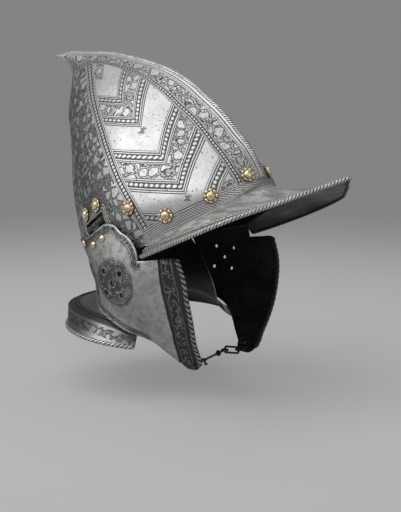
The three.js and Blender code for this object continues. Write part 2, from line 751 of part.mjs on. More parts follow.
function hingeRivetSeats(side, leaf) {
  const row = leaf === 'skull' ? HINGE_ROSETTES : HINGE_DOMES;
  const half = leaf === 'skull' ? skullHalf : cheekHalf;
  return [row.rear, row.front].map((along) => hingeSeat(side, along, row.across, half));
}

function leafDistance(side, seat) {
  const frame = hingeFrame(side);
  const local = seat.origin.clone().applyMatrix4(frame.clone().invert());
  return local.z;
}

// Depth of a leaf's middle plane under the lowest place of the plate above it
function leafLevel(side, leaf) {
  const sign = leaf === 'skull' ? -1 : 1;
  const half = leaf === 'skull' ? skullHalf : cheekHalf;
  const places = [];
  for (const along of [-LEAF_LENGTH / 2, 0, LEAF_LENGTH / 2]) {
    for (const across of [HINGE_SLOT / 2, HINGE_SLOT / 2 + LEAF_DEPTH]) {
      places.push(leafDistance(side, hingeSeat(side, along, sign * across, half)));
    }
  }
  return Math.min(...places) - PLATE - INNER_SLACK - LEAF / 2;
}

function hingeLeaf(side, leaf) {
  const down = (leaf === 'skull' ? -1 : 1) * hingeY(side);
  const level = leafLevel(side, leaf);
  const inner = KNUCKLE_RADIUS - LEAF / 2;
  const root = THREE.MathUtils.clamp(level, -inner, inner);
  const outline = new THREE.Shape([
    new THREE.Vector2(0, root - LEAF / 2), new THREE.Vector2(0, root + LEAF / 2),
    new THREE.Vector2(HINGE_SLOT / 2 + SEAT_GAP, level + LEAF / 2),
    new THREE.Vector2(HINGE_SLOT / 2 + LEAF_DEPTH, level + LEAF / 2),
    new THREE.Vector2(HINGE_SLOT / 2 + LEAF_DEPTH, level - LEAF / 2),
    new THREE.Vector2(HINGE_SLOT / 2 + SEAT_GAP, level - LEAF / 2),
  ].map((p) => new THREE.Vector2(down * p.x, p.y)));
  const sheet = new THREE.ExtrudeGeometry(outline, { depth: LEAF_LENGTH, bevelEnabled: false });
  sheet.translate(0, 0, -LEAF_LENGTH / 2);
  const basis = new THREE.Matrix4().makeBasis(
    new THREE.Vector3(0, 1, 0), new THREE.Vector3(0, 0, 1), new THREE.Vector3(1, 0, 0));
  let body = solid(sheet.applyMatrix4(basis));
  const gap = SEAT_GAP;
  const clear = (from, to) => barrel(from, to, KNUCKLE_RADIUS + gap)
    .add(boxSolid(to - from, HINGE_SLOT + 2 * gap, OVERRUN, (from + to) / 2, 0, 0));
  if (leaf === 'skull') {
    body = body.add(barrel(-KNUCKLE_END, KNUCKLE_END, KNUCKLE_RADIUS));
    body = body.subtract(clear(-KNUCKLE_HALF - gap, KNUCKLE_HALF + gap));
  } else {
    body = body.add(barrel(-KNUCKLE_HALF, KNUCKLE_HALF, KNUCKLE_RADIUS));
    body = body.subtract(clear(-OVERRUN, -KNUCKLE_HALF));
    body = body.subtract(clear(KNUCKLE_HALF, OVERRUN));
  }
  body = body.subtract(barrel(-OVERRUN, OVERRUN, PIN_RADIUS + gap));
  body = body.transform(hingeFrame(side).elements.slice());
  for (const seat of hingeRivetSeats(side, leaf)) body = body.subtract(rivetBore(seat));
  return body;
}

function hingePin(side) {
  const reach = KNUCKLE_END + SEAT_GAP;
  const headed = [
    new THREE.Vector2(0, -reach - LEAF), new THREE.Vector2(PIN_RADIUS + LEAF / 2, -reach - LEAF),
    new THREE.Vector2(PIN_RADIUS + LEAF / 2, -reach), new THREE.Vector2(PIN_RADIUS, -reach),
    new THREE.Vector2(PIN_RADIUS, reach), new THREE.Vector2(PIN_RADIUS + LEAF / 2, reach),
    new THREE.Vector2(PIN_RADIUS + LEAF / 2, reach + LEAF), new THREE.Vector2(0, reach + LEAF),
  ];
  const pin = new THREE.LatheGeometry(headed, RIVET_SIDES);
  pin.rotateZ(-Math.PI / 2);
  return solid(pin.applyMatrix4(hingeFrame(side)));
}

function hingeRivetDepth(side, leaf, seat) {
  const level = leafDistance(side, seat) - leafLevel(side, leaf) + LEAF / 2 + SEAT_GAP;
  const cos = seat.out.dot(new THREE.Vector3().setFromMatrixColumn(hingeFrame(side), 2));
  return level / cos + CLENCH_RADIUS * Math.sqrt(1 - cos * cos) / cos;
}

const sides = [['right', -1], ['left', 1]];
const pieces = [];

function place(name, manifold, material, looks = {}) {
  const surface = new THREE.MeshStandardMaterial({ ...material, ...looks });
  const mesh = new THREE.Mesh(geometryOf(manifold), surface);
  mesh.name = name;
  pieces.push(mesh);
}

function buildSkull() {
  let body = solid(skullOutside()).subtract(solid(skullHollow()));
  body = body.add(solid(ridgeRoll()));
  body = body.subtract(solid(sidePrism(belowSkull(), BRIM_HALF_WIDTH + OVERRUN)));
  body = body.subtract(solid(sidePrism(outlineOf(slotOutline(SEAT_GAP)), BRIM_HALF_WIDTH + OVERRUN)));
  body = body.add(solid(brimPlate())).add(solid(brimRoll()));
  for (const [, side] of sides) {
    for (const { front, height } of liningRivets) {
      body = body.subtract(rivetBore(skullSeat(front, height, side)));
    }
    for (const seat of hingeRivetSeats(side, 'skull')) body = body.subtract(rivetBore(seat));
    body = body.subtract(rivetBore(skullSeat(NAPE_RIVET_SHARE * SKULL_HALF_LENGTH, NAPE_RIVET_HEIGHT, side)));
  }
  place('skull', body, finish.steel);
}

// Neck guard: a collar over the nape, drawn in at the neck and flared to a rolled rim
function guardRing(ring, turnShare, side) {
  const turn = THREE.MathUtils.degToRad(ring.swing) * turnShare;
  const up = mix(ring.rearHeight, ring.frontHeight, turnShare ** ring.late);
  const reachShare = Math.cos(turn) > 0 ? ring.rearShare : ring.frontShare;
  const forward = (ring.centreShare - reachShare * Math.cos(turn)) * SKULL_HALF_LENGTH;
  return at(side * ring.halfShare * SKULL_HALF_WIDTH * Math.sin(turn), forward, up);
}

function guardSeam(share, frontTurn, turnShare, side) {
  const turn = mix(Math.PI, frontTurn, turnShare);
  return skullPoint(share, turn, side, GUARD_PLATE + 2 * SEAT_GAP);
}

function guardColumn(turnShare, side) {
  const seams = [[GUARD_TOP_SHARE, GUARD_TOP_TURN], [GUARD_SEAM_SHARE, GUARD_SEAM_TURN]]
    .map(([share, frontTurn]) => guardSeam(share, frontTurn, turnShare, side));
  const [waist, crease] = [WAIST, CREASE].map((ring) => guardRing(ring, turnShare, side));
  const sag = waist.clone().lerp(crease, SAG_OUT_SHARE).setZ(mix(waist.z, crease.z, SAG_DOWN_SHARE));
  const curve = new THREE.CatmullRomCurve3([...seams, waist, sag, crease], false, 'centripetal');
  const column = [];
  for (let i = 0; i <= GUARD_RUNS * 2; i += 1) column.push(curve.getPoint(i / (GUARD_RUNS * 2)));
  const rim = guardRing(RIM, turnShare, side);
  column.push(column[column.length - 1].clone().lerp(rim, 1 / 2), rim);
  return column;
}

function guardGrid() {
  const columns = [];
  for (let i = -GUARD_STEPS / 2; i <= GUARD_STEPS / 2; i += 1) {
    const turnShare = Math.abs(i) / (GUARD_STEPS / 2);
    columns.push(guardColumn(turnShare, i < 0 ? -1 : 1));
  }
  return columns;
}

// Grid moved one plate inward along its own normals
function insideOf(grid, plate, middle) {
  const rows = grid.length;
  const columns = grid[0].length;
  return grid.map((row, r) => row.map((point, c) => {
    const alongRow = row[Math.min(c + 1, columns - 1)].clone().sub(row[Math.max(c - 1, 0)]);
    const acrossRows = grid[Math.min(r + 1, rows - 1)][c].clone().sub(grid[Math.max(r - 1, 0)][c]);
    const normal = alongRow.cross(acrossRows).normalize();
    if (normal.dot(point.clone().sub(middle)) < 0) normal.negate();
    return point.clone().addScaledVector(normal, -plate);
  }));
}

function napeSeat(side) {
  const seat = skullSeat(NAPE_RIVET_SHARE * SKULL_HALF_LENGTH, NAPE_RIVET_HEIGHT, side);
  seat.origin.addScaledVector(seat.out, GUARD_PLATE + 2 * SEAT_GAP);
  return seat;
}

function buildNeckGuard() {
  const grid = guardGrid();
  const middle = at(0, WAIST.centreShare * SKULL_HALF_LENGTH, WAIST.rearHeight);
  let body = solid(plateBetween(grid, insideOf(grid, GUARD_PLATE, middle)));
  const rim = grid.map((column) => column[column.length - 1]);
  body = body.add(solid(roll(rim, ROLL_RADIUS, GUARD_STEPS)));
  for (const [, side] of sides) body = body.subtract(rivetBore(napeSeat(side)));
  place('neck_guard', body, finish.steel);
}

// Cheekpieces
function inReach(points) {
  return points.map(([forward, up]) => [forward * CHEEK_REACH, up * CHEEK_DROP]);
}

function cheekFrontCurve() {
  return inReach([browShares[browShares.length - 1], ...cheekFrontShares, chinShares[0]]);
}

function cheekOutline() {
  const hinge = [
    hingePlace(-HINGE_LENGTH / 2 - SEAT_GAP, HINGE_SLOT / 2), hingePlace(HINGE_LENGTH / 2, HINGE_SLOT / 2),
  ];
  const start = inReach(napeShares.slice(-1))[0];
  const outline = new THREE.Shape();
  outline.moveTo(...start);
  outline.lineTo(...hinge[0]);
  outline.lineTo(...hinge[1]);
  const run = (points) => outline.splineThru(points.map(([a, b]) => new THREE.Vector2(a, b)));
  run(inReach(lobeShares));
  run(inReach(browShares));
  run(inReach([...cheekFrontShares, ...chinShares]));
  run(inReach(jawShares));
  outline.lineTo(...inReach([jawCornerShare])[0]);
  run(inReach(napeShares));
  return outline;
}

function cheekGrid(side, sunk) {
  const rows = [];
  for (let r = 0; r <= CHEEK_ROWS; r += 1) {
    const up = mix(CHEEK_SHEET_SHARES.low, CHEEK_SHEET_SHARES.high, r / CHEEK_ROWS) * CHEEK_DROP;
    const row = [];
    for (let c = 0; c <= CHEEK_COLUMNS; c += 1) {
      const forward = mix(CHEEK_SHEET_SHARES.rear, CHEEK_SHEET_SHARES.front, c / CHEEK_COLUMNS) * CHEEK_REACH;
      const point = graphPoint(cheekHalf, forward, up, side);
      row.push(point.addScaledVector(graphNormal(cheekHalf, forward, up, side), -sunk));
    }
    rows.push(row);
  }
  return rows;
}

const cheekFrontEdge = (side) => new THREE.CatmullRomCurve3(cheekFrontCurve().map(([forward, up]) => {
  const point = graphPoint(cheekHalf, forward, up, side);
  return point.addScaledVector(graphNormal(cheekHalf, forward, up, side), -PLATE / 2);
}));

function buildCheekpiece(name, side) {
  let body = solid(plateBetween(cheekGrid(side, 0), cheekGrid(side, PLATE)));
  const prism = solid(sidePrism(cheekOutline(), CHEEK_HALF_WIDTH + OVERRUN));
  body = body.intersect(prism);
  const edge = cheekFrontEdge(side).getPoints(CHEEK_ROLL_STEPS);
  body = body.add(solid(roll(edge, ROLL_RADIUS, CHEEK_ROLL_STEPS)));
  const holes = [[0, 0], [-1, 1], [1, 1], [-1, -1], [1, -1]];
  const [[hearingFront, hearingHeight]] = inReach([hearingShare]);
  for (const [a, b] of holes) {
    const front = hearingFront + a * HEARING_HOLE_PITCH;
    const seat = cheekSeat(front, hearingHeight + b * HEARING_HOLE_PITCH, side);
    body = body.subtract(bore(seat.origin, seat.out, HEARING_HOLE_RADIUS, BORE_RUN));
  }
  for (const seat of hingeRivetSeats(side, 'cheek')) body = body.subtract(rivetBore(seat));
  body = body.subtract(rivetBore(side < 0 ? eyeSeat : discSeat));
  place(name, body, finish.steel);
}

// Chin fastening, in a frame whose X runs from the staple of the disc to the eye
const eyeSeat = cheekSeat(...inReach([eyeShare])[0], -1);
const discSeat = cheekSeat(...inReach([discShare])[0], 1);
const DISC_DEPTH = PLATE + 3 * SEAT_GAP + DISC / 2;
const discDown = new THREE.Vector3(0, 0, -1).addScaledVector(discSeat.out, discSeat.out.z).normalize();
const discCentre = discSeat.origin.clone().addScaledVector(discSeat.out, -DISC_DEPTH);
const stapleCentre = discCentre.clone().addScaledVector(discDown, STAPLE_DROP)
  .addScaledVector(discSeat.out, -STAPLE_REACH);
const eyeCentre = eyeSeat.origin.clone().addScaledVector(eyeSeat.out, -EYE_REACH).add(at(0, EYE_FORWARD, 0));
const chainAlong = eyeCentre.clone().sub(stapleCentre).setZ(0).normalize();
const chainAcross = new THREE.Vector3(0, 0, 1).cross(chainAlong);
const chainBasis = new THREE.Matrix4().makeBasis(chainAlong, chainAcross, new THREE.Vector3(0, 0, 1));
const linkPivot = stapleCentre.clone().addScaledVector(chainAlong, CHAIN_RING);
const linkRun = chainAlong.clone().applyAxisAngle(chainAcross, -LINK_SLOPE);
const hookPivot = linkPivot.clone().addScaledVector(linkRun, LINK_LENGTH);

function chainRing(centre, basis, radius = CHAIN_RING, stretch = 0) {
  const ring = new THREE.TorusGeometry(radius, WIRE, WIRE_SIDES, RING_STEPS);
  ring.rotateZ(Math.PI / RING_STEPS);
  const places = ring.attributes.position;
  for (let i = 0; i < places.count; i += 1) {
    if (places.getX(i) > 0) places.setX(i, places.getX(i) + stretch);
  }
  return solid(ring.applyMatrix4(basis.clone().setPosition(centre)));
}

function rod(points, radius, steps) {
  return solid(roll(points, radius, steps));
}

function buildLeftDisc() {
  const disc = new THREE.CylinderGeometry(DISC_RADIUS, DISC_RADIUS, DISC, 2 * RING_STEPS);
  disc.rotateX(Math.PI / 2);
  const body = solid(disc.applyMatrix4(frameAt(discCentre, discSeat.out)));
  const bored = body.add(chainRing(stapleCentre, chainBasis)).subtract(rivetBore(discSeat));
  place('left_chin_disc', bored, finish.darkSteel);
  place('left_chin_rivet', domeRivet(discSeat, DISC_DEPTH + DISC / 2 + SEAT_GAP), finish.darkSteel);
}

function buildRightEye() {
  const head = new THREE.CylinderGeometry(CLENCH_RADIUS, CLENCH_RADIUS, CLENCH_HEIGHT, RIVET_SIDES);
  head.rotateX(Math.PI / 2);
  const headCentre = eyeSeat.origin.clone().addScaledVector(eyeSeat.out, SEAT_GAP + CLENCH_HEIGHT / 2);
  const inner = eyeSeat.origin.clone().addScaledVector(eyeSeat.out, -EYE_REACH / 2);
  const rim = eyeCentre.clone().addScaledVector(inner.clone().sub(eyeCentre).setZ(0).normalize(), CHAIN_RING);
  const shank = rod([headCentre, inner, rim], EYE_SHANK, RING_STEPS / 2);
  const body = solid(head.applyMatrix4(frameAt(headCentre, eyeSeat.out))).add(shank);
  place('right_chin_eye', body.add(chainRing(eyeCentre, chainBasis)), finish.darkSteel);
}

function buildLink() {
  const basis = new THREE.Matrix4().makeBasis(linkRun, chainAcross.clone().cross(linkRun), chainAcross);
  place('chin_link', chainRing(linkPivot, basis, CHAIN_RING, LINK_LENGTH), finish.darkSteel);
}

function buildHook() {
  const standing = new THREE.Matrix4().makeBasis(
    chainAlong, new THREE.Vector3(0, 0, 1), chainAcross.clone().negate());
  const along = (distance, up = 0) => hookPivot.clone()
    .addScaledVector(chainAlong, distance).add(new THREE.Vector3(0, 0, up));
  const span = eyeCentre.clone().sub(hookPivot).dot(chainAlong) - CHAIN_RING - 2 * WIRE - HOOK_SLACK;
  const bend = span - HOOK_RADIUS;
  const turns = [1 / 2, 1 / 4, 0, -1 / 4, -1 / 2, -3 / 4];
  const curl = turns.map((turn) => along(
    bend + HOOK_RADIUS * Math.cos(Math.PI * turn), -HOOK_RADIUS + HOOK_RADIUS * Math.sin(Math.PI * turn)));
  let body = chainRing(along(CHAIN_RING), chainBasis);
  const shank = [along(2 * CHAIN_RING), along(mix(2 * CHAIN_RING, bend, 1 / 2))];
  body = body.add(rod([...shank, ...curl], WIRE, RING_STEPS));
  body = body.add(chainRing(along(COLLAR_PLACE), standing, COLLAR_RADIUS));
  place('chin_hook', body, finish.darkSteel);
}

// Lining band behind the row of rosettes
function bandStations() {
  const bandRear = BAND_REAR_SHARE * FOOT_FRONT;
  const bandFront = BAND_FRONT_SHARE * FOOT_FRONT;
  const seats = [{ front: bandRear, height: liningRivets[0].height }, ...liningRivets];
  const rows = seats.map(({ front, height }) => [front, height]);
  const heightAt = stationCurve(rows, 1);
  const right = [];
  for (let i = 0; i <= BAND_STEPS; i += 1) {
    const front = mix(bandRear, bandFront, i / BAND_STEPS);
    const seat = skullSeat(front, heightAt(front), -1);
    seat.origin.addScaledVector(seat.out, -PLATE - INNER_SLACK - 2 * SEAT_GAP);
    right.push(seat);
  }
  const mirrored = (vector) => vector.clone().multiply(new THREE.Vector3(-1, 1, 1));
  const left = right.map(({ origin, out }) => ({ origin: mirrored(origin), out: mirrored(out) })).reverse();
  const last = right[right.length - 1];
  const crossing = [];
  for (let i = 1; i < BAND_CROSSING; i += 1) {
    const share = i / BAND_CROSSING;
    crossing.push({
      origin: last.origin.clone().lerp(left[0].origin, share),
      out: last.out.clone().lerp(left[0].out, share).normalize(),
    });
  }
  return [...right, ...crossing, ...left];
}

function buildLiningBand() {
  const stations = bandStations();
  const outside = [];
  const inside = [];
  stations.forEach(({ origin, out }, i) => {
    const before = stations[Math.max(i - 1, 0)].origin;
    const after = stations[Math.min(i + 1, stations.length - 1)].origin;
    const across = after.clone().sub(before).cross(out).normalize();
    if (across.z < 0) across.negate();
    const edges = [-BAND_WIDTH / 2, BAND_WIDTH / 2].map((y) => origin.clone().addScaledVector(across, y));
    outside.push(edges);
    inside.push(edges.map((p) => p.clone().addScaledVector(out, -BAND)));
  });
  let body = solid(plateBetween(outside, inside));
  for (const [, side] of sides) {
    for (const { front, height } of liningRivets) {
      body = body.subtract(rivetBore(skullSeat(front, height, side)));
    }
  }
  place('lining_band', body, finish.leather);
}

function buildRivets() {
  for (const [name, side] of sides) {
    liningRivets.forEach(({ front, height }, i) => {
      const seat = skullSeat(front, height, side);
      place(`${name}_lining_rosette_${i + 1}`, rosetteRivet(seat, LINING_RIVET_DEPTH), finish.gilt);
    });
    hingeRivetSeats(side, 'skull').forEach((seat, i) => {
      const depth = hingeRivetDepth(side, 'skull', seat);
      place(`${name}_hinge_rosette_${i + 1}`, rosetteRivet(seat, depth), finish.gilt);
    });
    hingeRivetSeats(side, 'cheek').forEach((seat, i) => {
      const depth = hingeRivetDepth(side, 'cheek', seat);
      place(`${name}_cheek_rivet_${i + 1}`, domeRivet(seat, depth), finish.gilt);
    });
    place(`${name}_nape_rivet`, domeRivet(napeSeat(side), NAPE_RIVET_DEPTH), finish.gilt);
  }
}

function buildHinges() {
  for (const [name, side] of sides) {
    place(`${name}_hinge_skull_leaf`, hingeLeaf(side, 'skull'), finish.darkSteel);
    place(`${name}_hinge_cheek_leaf`, hingeLeaf(side, 'cheek'), finish.darkSteel);
    place(`${name}_hinge_pin`, hingePin(side), finish.darkSteel);
  }
}

buildSkull();
buildNeckGuard();
for (const [name, side] of sides) buildCheekpiece(`${name}_cheekpiece`, side);
buildHinges();
buildLiningBand();
buildRivets();
buildLeftDisc();
buildRightEye();
buildLink();
buildHook();

const group = new THREE.Group();
const helmet = new THREE.Group();
helmet.position.set(0, HEAD_REST_FRONT, -HEAD_REST_HEIGHT);
helmet.add(...pieces);
group.add(helmet);
export default group;
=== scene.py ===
"""Burgonet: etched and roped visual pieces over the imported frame, in metres."""

import math

import bmesh
import bpy
import numpy as np
from mathutils import Matrix, Vector
from mathutils.geometry import delaunay_2d_cdt


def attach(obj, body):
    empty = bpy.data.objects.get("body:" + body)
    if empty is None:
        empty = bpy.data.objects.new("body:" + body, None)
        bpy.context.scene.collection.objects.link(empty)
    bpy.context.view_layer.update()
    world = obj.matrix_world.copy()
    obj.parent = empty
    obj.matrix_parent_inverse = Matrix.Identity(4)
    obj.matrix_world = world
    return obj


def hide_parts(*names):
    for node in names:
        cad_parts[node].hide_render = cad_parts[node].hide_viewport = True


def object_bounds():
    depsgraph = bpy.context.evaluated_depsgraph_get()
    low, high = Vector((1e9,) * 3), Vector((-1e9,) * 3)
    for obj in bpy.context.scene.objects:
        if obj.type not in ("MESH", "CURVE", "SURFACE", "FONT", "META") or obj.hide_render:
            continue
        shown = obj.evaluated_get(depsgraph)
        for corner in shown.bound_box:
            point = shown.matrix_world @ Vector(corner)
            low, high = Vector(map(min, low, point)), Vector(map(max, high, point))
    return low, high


bl_info = {
    "name": "Etched burgonet",
    "version": (1, 0, 0),
    "blender": (4, 5, 0),
    "location": "View3D > Sidebar > Burgonet",
    "description": "Builds an etched, roped and gilt-riveted burgonet over its frame",
    "category": "Object",
}

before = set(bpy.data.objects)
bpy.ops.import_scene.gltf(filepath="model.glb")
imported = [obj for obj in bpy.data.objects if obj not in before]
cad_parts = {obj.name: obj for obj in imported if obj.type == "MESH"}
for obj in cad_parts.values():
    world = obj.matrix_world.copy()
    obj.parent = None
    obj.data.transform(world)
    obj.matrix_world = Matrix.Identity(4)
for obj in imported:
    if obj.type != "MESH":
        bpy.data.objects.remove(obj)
CAD_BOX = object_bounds()
MM = 0.001

# Skull, in millimetres, in a frame whose forward is where the wearer looks
SKULL_HALF_WIDTH = 86
SKULL_HALF_LENGTH = 112
SKULL_HEIGHT = 192.5
SKULL_PITCH = math.radians(22)
PLATE = 1.6
SEAT_GAP = 0.3
RIDGE_ROLL = 2.4
ROLL_RADIUS = 2.2
HEAD_REST_FRONT = -10
HEAD_REST_HEIGHT = 85
# Height, front end, rear end, half width, and how pointed the front and rear ends are
SKULL_SHARES = np.array([
    [-0.365, 0.83, -0.945, 0.875, 0.60, 0.50],
    [-0.21, 0.89, -1.035, 0.955, 0.60, 0.50],
    [-0.078, 0.908, -1.07, 0.99, 0.62, 0.50],
    [-0.02, 0.925, -1.088, 1.0, 0.72, 0.50],
    [0.047, 0.915, -1.094, 0.988, 0.90, 0.51],
    [0.11, 0.896, -1.094, 0.965, 1.05, 0.52],
    [0.213, 0.826, -1.085, 0.912, 1.20, 0.55],
    [0.332, 0.734, -1.062, 0.824, 1.24, 0.60],
    [0.436, 0.62, -1.036, 0.718, 1.25, 0.66],
    [0.535, 0.504, -1.013, 0.612, 1.22, 0.70],
    [0.655, 0.308, -0.99, 0.47, 1.20, 0.77],
    [0.748, 0.09, -0.92, 0.33, 1.15, 0.82],
    [0.826, -0.125, -0.848, 0.212, 1.1, 0.85],
    [0.878, -0.295, -0.812, 0.13, 1.05, 0.88],
    [0.92, -0.475, -0.815, 0.082, 1.0, 0.9],
    [0.956, -0.63, -0.872, 0.058, 1.0, 0.9],
    [0.987, -0.785, -0.95, 0.037, 1.0, 0.9],
    [1.0, -0.9, -0.978, 0.022, 1.0, 0.9],
])
SKULL_LEVELS = 130
SKULL_TURNS = 150
TOP_CROWDING = 1.25

# Brim
FOOT_FRONT = 99.5
FOOT_HEIGHT = 24
BRIM_REAR = 21.6
BRIM_REAR_HEIGHT = -32.5
CREASE_DIP = 5.9
CREASE_DIP_PEAK = 4 / 27
BRIM_CORNER = (21.5, -42)
BRIM_HALF_WIDTH = 102
BRIM_TIP = (195.3, 38.2)
BRIM_BOW = 3.5
BRIM_CAMBER = 3
BRIM_SAG = 7.5
INNER_ROPE_INSET = 7
INNER_ROPE_RADIUS = 1.2
BRIM_SAG_START_SHARE = 0.45
BRIM_SHARES = np.array([
    [0, 0.878], [0.11, 0.94], [0.235, 0.985], [0.365, 1], [0.495, 0.98], [0.56, 0.945], [0.622, 0.895],
    [0.694, 0.76], [0.753, 0.607], [0.80, 0.50], [0.854, 0.375], [0.89, 0.265], [0.93, 0.16], [1, 0],
])
BRIM_STEPS = 90
BRIM_RUNS = 20

# Lower edge of the skull behind the brim
EAR_EDGE = (10, -37)
NAPE_EDGE = (-110, -68)

# Cheekpieces
CHEEK_HALF_WIDTH = 92.5
CHEEK_DROP = 158
CHEEK_REACH = 65
CHEEK_FRONT_RADIUS = 143
CHEEK_REAR_RADIUS = 119
CHEEK_FLARE = 10.4
CHEEK_FLARE_LENGTH = 9
CHEEK_FLARE_PLACE = (-41, -103)
CHEEK_FLARE_SLOPE = math.radians(24.5)
CHEEK_FLARE_END = -8
CHEEK_FLARE_FADE = 26
CHEEK_SHARES = np.array([
    [-1.075, 0.357, 0.65], [-1.0, 0.476, 0.55], [-0.918, 0.584, 0.42], [-0.854, 0.665, 0.31],
    [-0.797, 0.741, 0.23], [-0.67, 0.86, 0.123], [-0.525, 0.962, 0.015], [-0.456, 0.989, -0.015],
    [-0.38, 1.0, -0.046], [-0.247, 0.992, -0.077], [-0.095, 0.9645, -0.092], [0.063, 0.946, -0.108],
])
LOBE_SHARES = [
    (-0.28, -0.095), (-0.16, -0.102), (-0.065, -0.13), (0.108, -0.163), (0.21, -0.207), (0.265, -0.25),
    (0.29, -0.298),
]
BROW_SHARES = [(0.523, -0.282), (0.758, -0.264), (0.862, -0.264)]
CHEEK_FRONT_SHARES = [(0.97, -0.389), (1.0, -0.511), (1.003, -0.672), (0.942, -0.858), (0.937, -0.915)]
CHIN_SHARES = [(0.903, -0.965), (0.80, -0.998), (0.655, -0.999)]
JAW_SHARES = [(0.508, -0.939), (0.391, -0.892), (0.275, -0.841), (0.185, -0.81)]
NAPE_SHARES = [
    (-0.59, -0.655), (-0.666, -0.575), (-0.642, -0.478), (-0.728, -0.406), (-0.805, -0.322), (-0.852, -0.268),
]
JAW_CORNER = (9.3, -126.6)
HEARING_PLACE = (-14, -72.5)
HEARING_PITCH = 10.8
HEARING_RADIUS = 1.8
CHEEK_MESH = 1.25

# Neck guard
GUARD_PLATE = 1.3
GUARD_TOP_SHARE = -0.03
GUARD_SEAM_SHARE = -0.18
GUARD_TOP_TURN = math.radians(125)
GUARD_SEAM_TURN = math.radians(119)
SAG_OUT_SHARE = 0.5
SAG_DOWN_SHARE = 0.74
GUARD_TURNS = 140
GUARD_FALL_STEPS = 40
GUARD_BAND_STEPS = 12
WAIST = dict(half=62, rear=62, front=62, centre=-25, swing=108, rear_height=-90, front_height=-93, late=3)
CREASE = dict(half=87, rear=95, front=61, centre=-33, swing=124, rear_height=-111, front_height=-127, late=4)
RIM = dict(half=102, rear=83, front=68, centre=-33, swing=126, rear_height=-124, front_height=-134.5, late=2.5)

# Hinges
HINGE_PLACE = (-45, -19.5)
HINGE_SLOPE = math.radians(31)
HINGE_LENGTH = 36
HINGE_SLOT = 13

# Rivets
ROSETTE_RADIUS = 7
ROSETTE_HEIGHT = 4.2
PETALS = 8
DOME_RADIUS = 3.6
DOME_HEIGHT = 2.6
SHANK_RADIUS = 1.4
CLENCH_RADIUS = 2.8

# Chin fastening
WIRE = 1.1
CHAIN_RING = 3
DISC_RADIUS = 8
DISC = 1.5
DISC_PLACE = (44.2, -151.2)
STAPLE_DROP = 9
STAPLE_REACH = 3.2
LINK_LENGTH = 27
LINK_SLOPE = math.radians(14.5)
EYE_PLACE = (52.5, -151.5)
EYE_REACH = 8
EYE_FORWARD = 6
EYE_SHANK = 1.2
COLLAR_PLACE = 17
COLLAR_RADIUS = 2.0
HOOK_SLACK = 0.8
HOOK_RADIUS = 2.6
HEAD = 1.0

# Camera: seen from the wearer's right front
CAMERA_AZIMUTH = math.radians(52)
CAMERA_ELEVATION = math.radians(10.4)
CAMERA_DISTANCE = 1350
CAMERA_AIM_RIGHT = 18.5
CAMERA_AIM_DOWN = 56
CAMERA_LENS_PIXELS = 1350
FRAME_HEIGHT_PIXELS = 512
SENSOR = 36

SIDES = (("right", -1), ("left", 1))


# Places
def to_metres(side, forward, up):
    """Points in metres in the frame's axes from sideways, forward and up in millimetres."""
    side, forward, up = np.broadcast_arrays(side, forward, up)
    return np.stack([side, -forward + HEAD_REST_FRONT, up - HEAD_REST_HEIGHT], -1) * MM


def to_drafting(points):
    """Sideways, forward and up in millimetres from points in metres."""
    return points[..., 0] / MM, HEAD_REST_FRONT - points[..., 1] / MM, points[..., 2] / MM + HEAD_REST_HEIGHT


def mix(a, b, share):
    return a + (b - a) * share


def unit(vectors):
    return vectors / np.linalg.norm(vectors, axis=-1, keepdims=True)


def hermite(a, b, start, end, t):
    """Cubic from a to b that leaves and arrives with these slopes."""
    return a + start * t + (3 * (b - a) - 2 * start - end) * t * t + (2 * (a - b) + start + end) * t ** 3


def station_curve(rows, column):
    """Smooth monotone curve through one column of a station table."""
    places = rows[:, 0]
    values = rows[:, column]
    steps = np.diff(places)
    slopes = np.diff(values) / steps
    before = np.concatenate([slopes[:1], slopes])
    after = np.concatenate([slopes, slopes[-1:]])
    total = np.where(before * after > 0, before + after, 1)
    tangents = np.where(before * after > 0, 2 * before * after / total, 0)

    def curve(share):
        share = np.asarray(share, float)
        i = np.clip(np.searchsorted(places, share, "left") - 1, 0, len(steps) - 1)
        t = np.clip((share - places[i]) / steps[i], 0, 1)
        return hermite(values[i], values[i + 1], tangents[i] * steps[i], tangents[i + 1] * steps[i], t)

    return curve


SKULL_CURVES = [station_curve(SKULL_SHARES, column) for column in range(1, 6)]
BRIM_CURVE = station_curve(BRIM_SHARES, 1)
CHEEK_WIDTH = station_curve(CHEEK_SHARES, 1)
CHEEK_BULGE = station_curve(CHEEK_SHARES, 2)


def skull_station(share):
    """Middle, reach, half width and pointedness of the skull's section at a share of its height."""
    front, rear, half, front_point, rear_point = [curve(share) for curve in SKULL_CURVES]
    middle = (front + rear) / 2 * SKULL_HALF_LENGTH
    reach = (front - rear) / 2 * SKULL_HALF_LENGTH
    return middle, reach, half * SKULL_HALF_WIDTH, front_point, rear_point


def skull_surface(share, turn, side, grown=0):
    """Sideways, forward and up of the skull's outside."""
    middle, reach, half, front_point, rear_point = skull_station(share)
    along = np.cos(turn)
    sharpness = mix(rear_point, front_point, (1 + along) / 2)
    width = half * np.maximum(1 - along * along, 0) ** sharpness * (half + grown) / half
    forward = middle + (reach + grown) * along
    height = share * SKULL_HEIGHT
    cos, sin = math.cos(SKULL_PITCH), math.sin(SKULL_PITCH)
    return side * width, forward * cos - height * sin, forward * sin + height * cos


def skull_half(forward, up):
    """Half width of the skull at a place in side view."""
    cos, sin = math.cos(SKULL_PITCH), math.sin(SKULL_PITCH)
    middle, reach, half, front_point, rear_point = skull_station((up * cos - forward * sin) / SKULL_HEIGHT)
    along = np.clip((forward * cos + up * sin - middle) / reach, -1, 1)
    sharpness = mix(rear_point, front_point, (1 + along) / 2)
    return half * np.maximum(1 - along * along, 0) ** sharpness


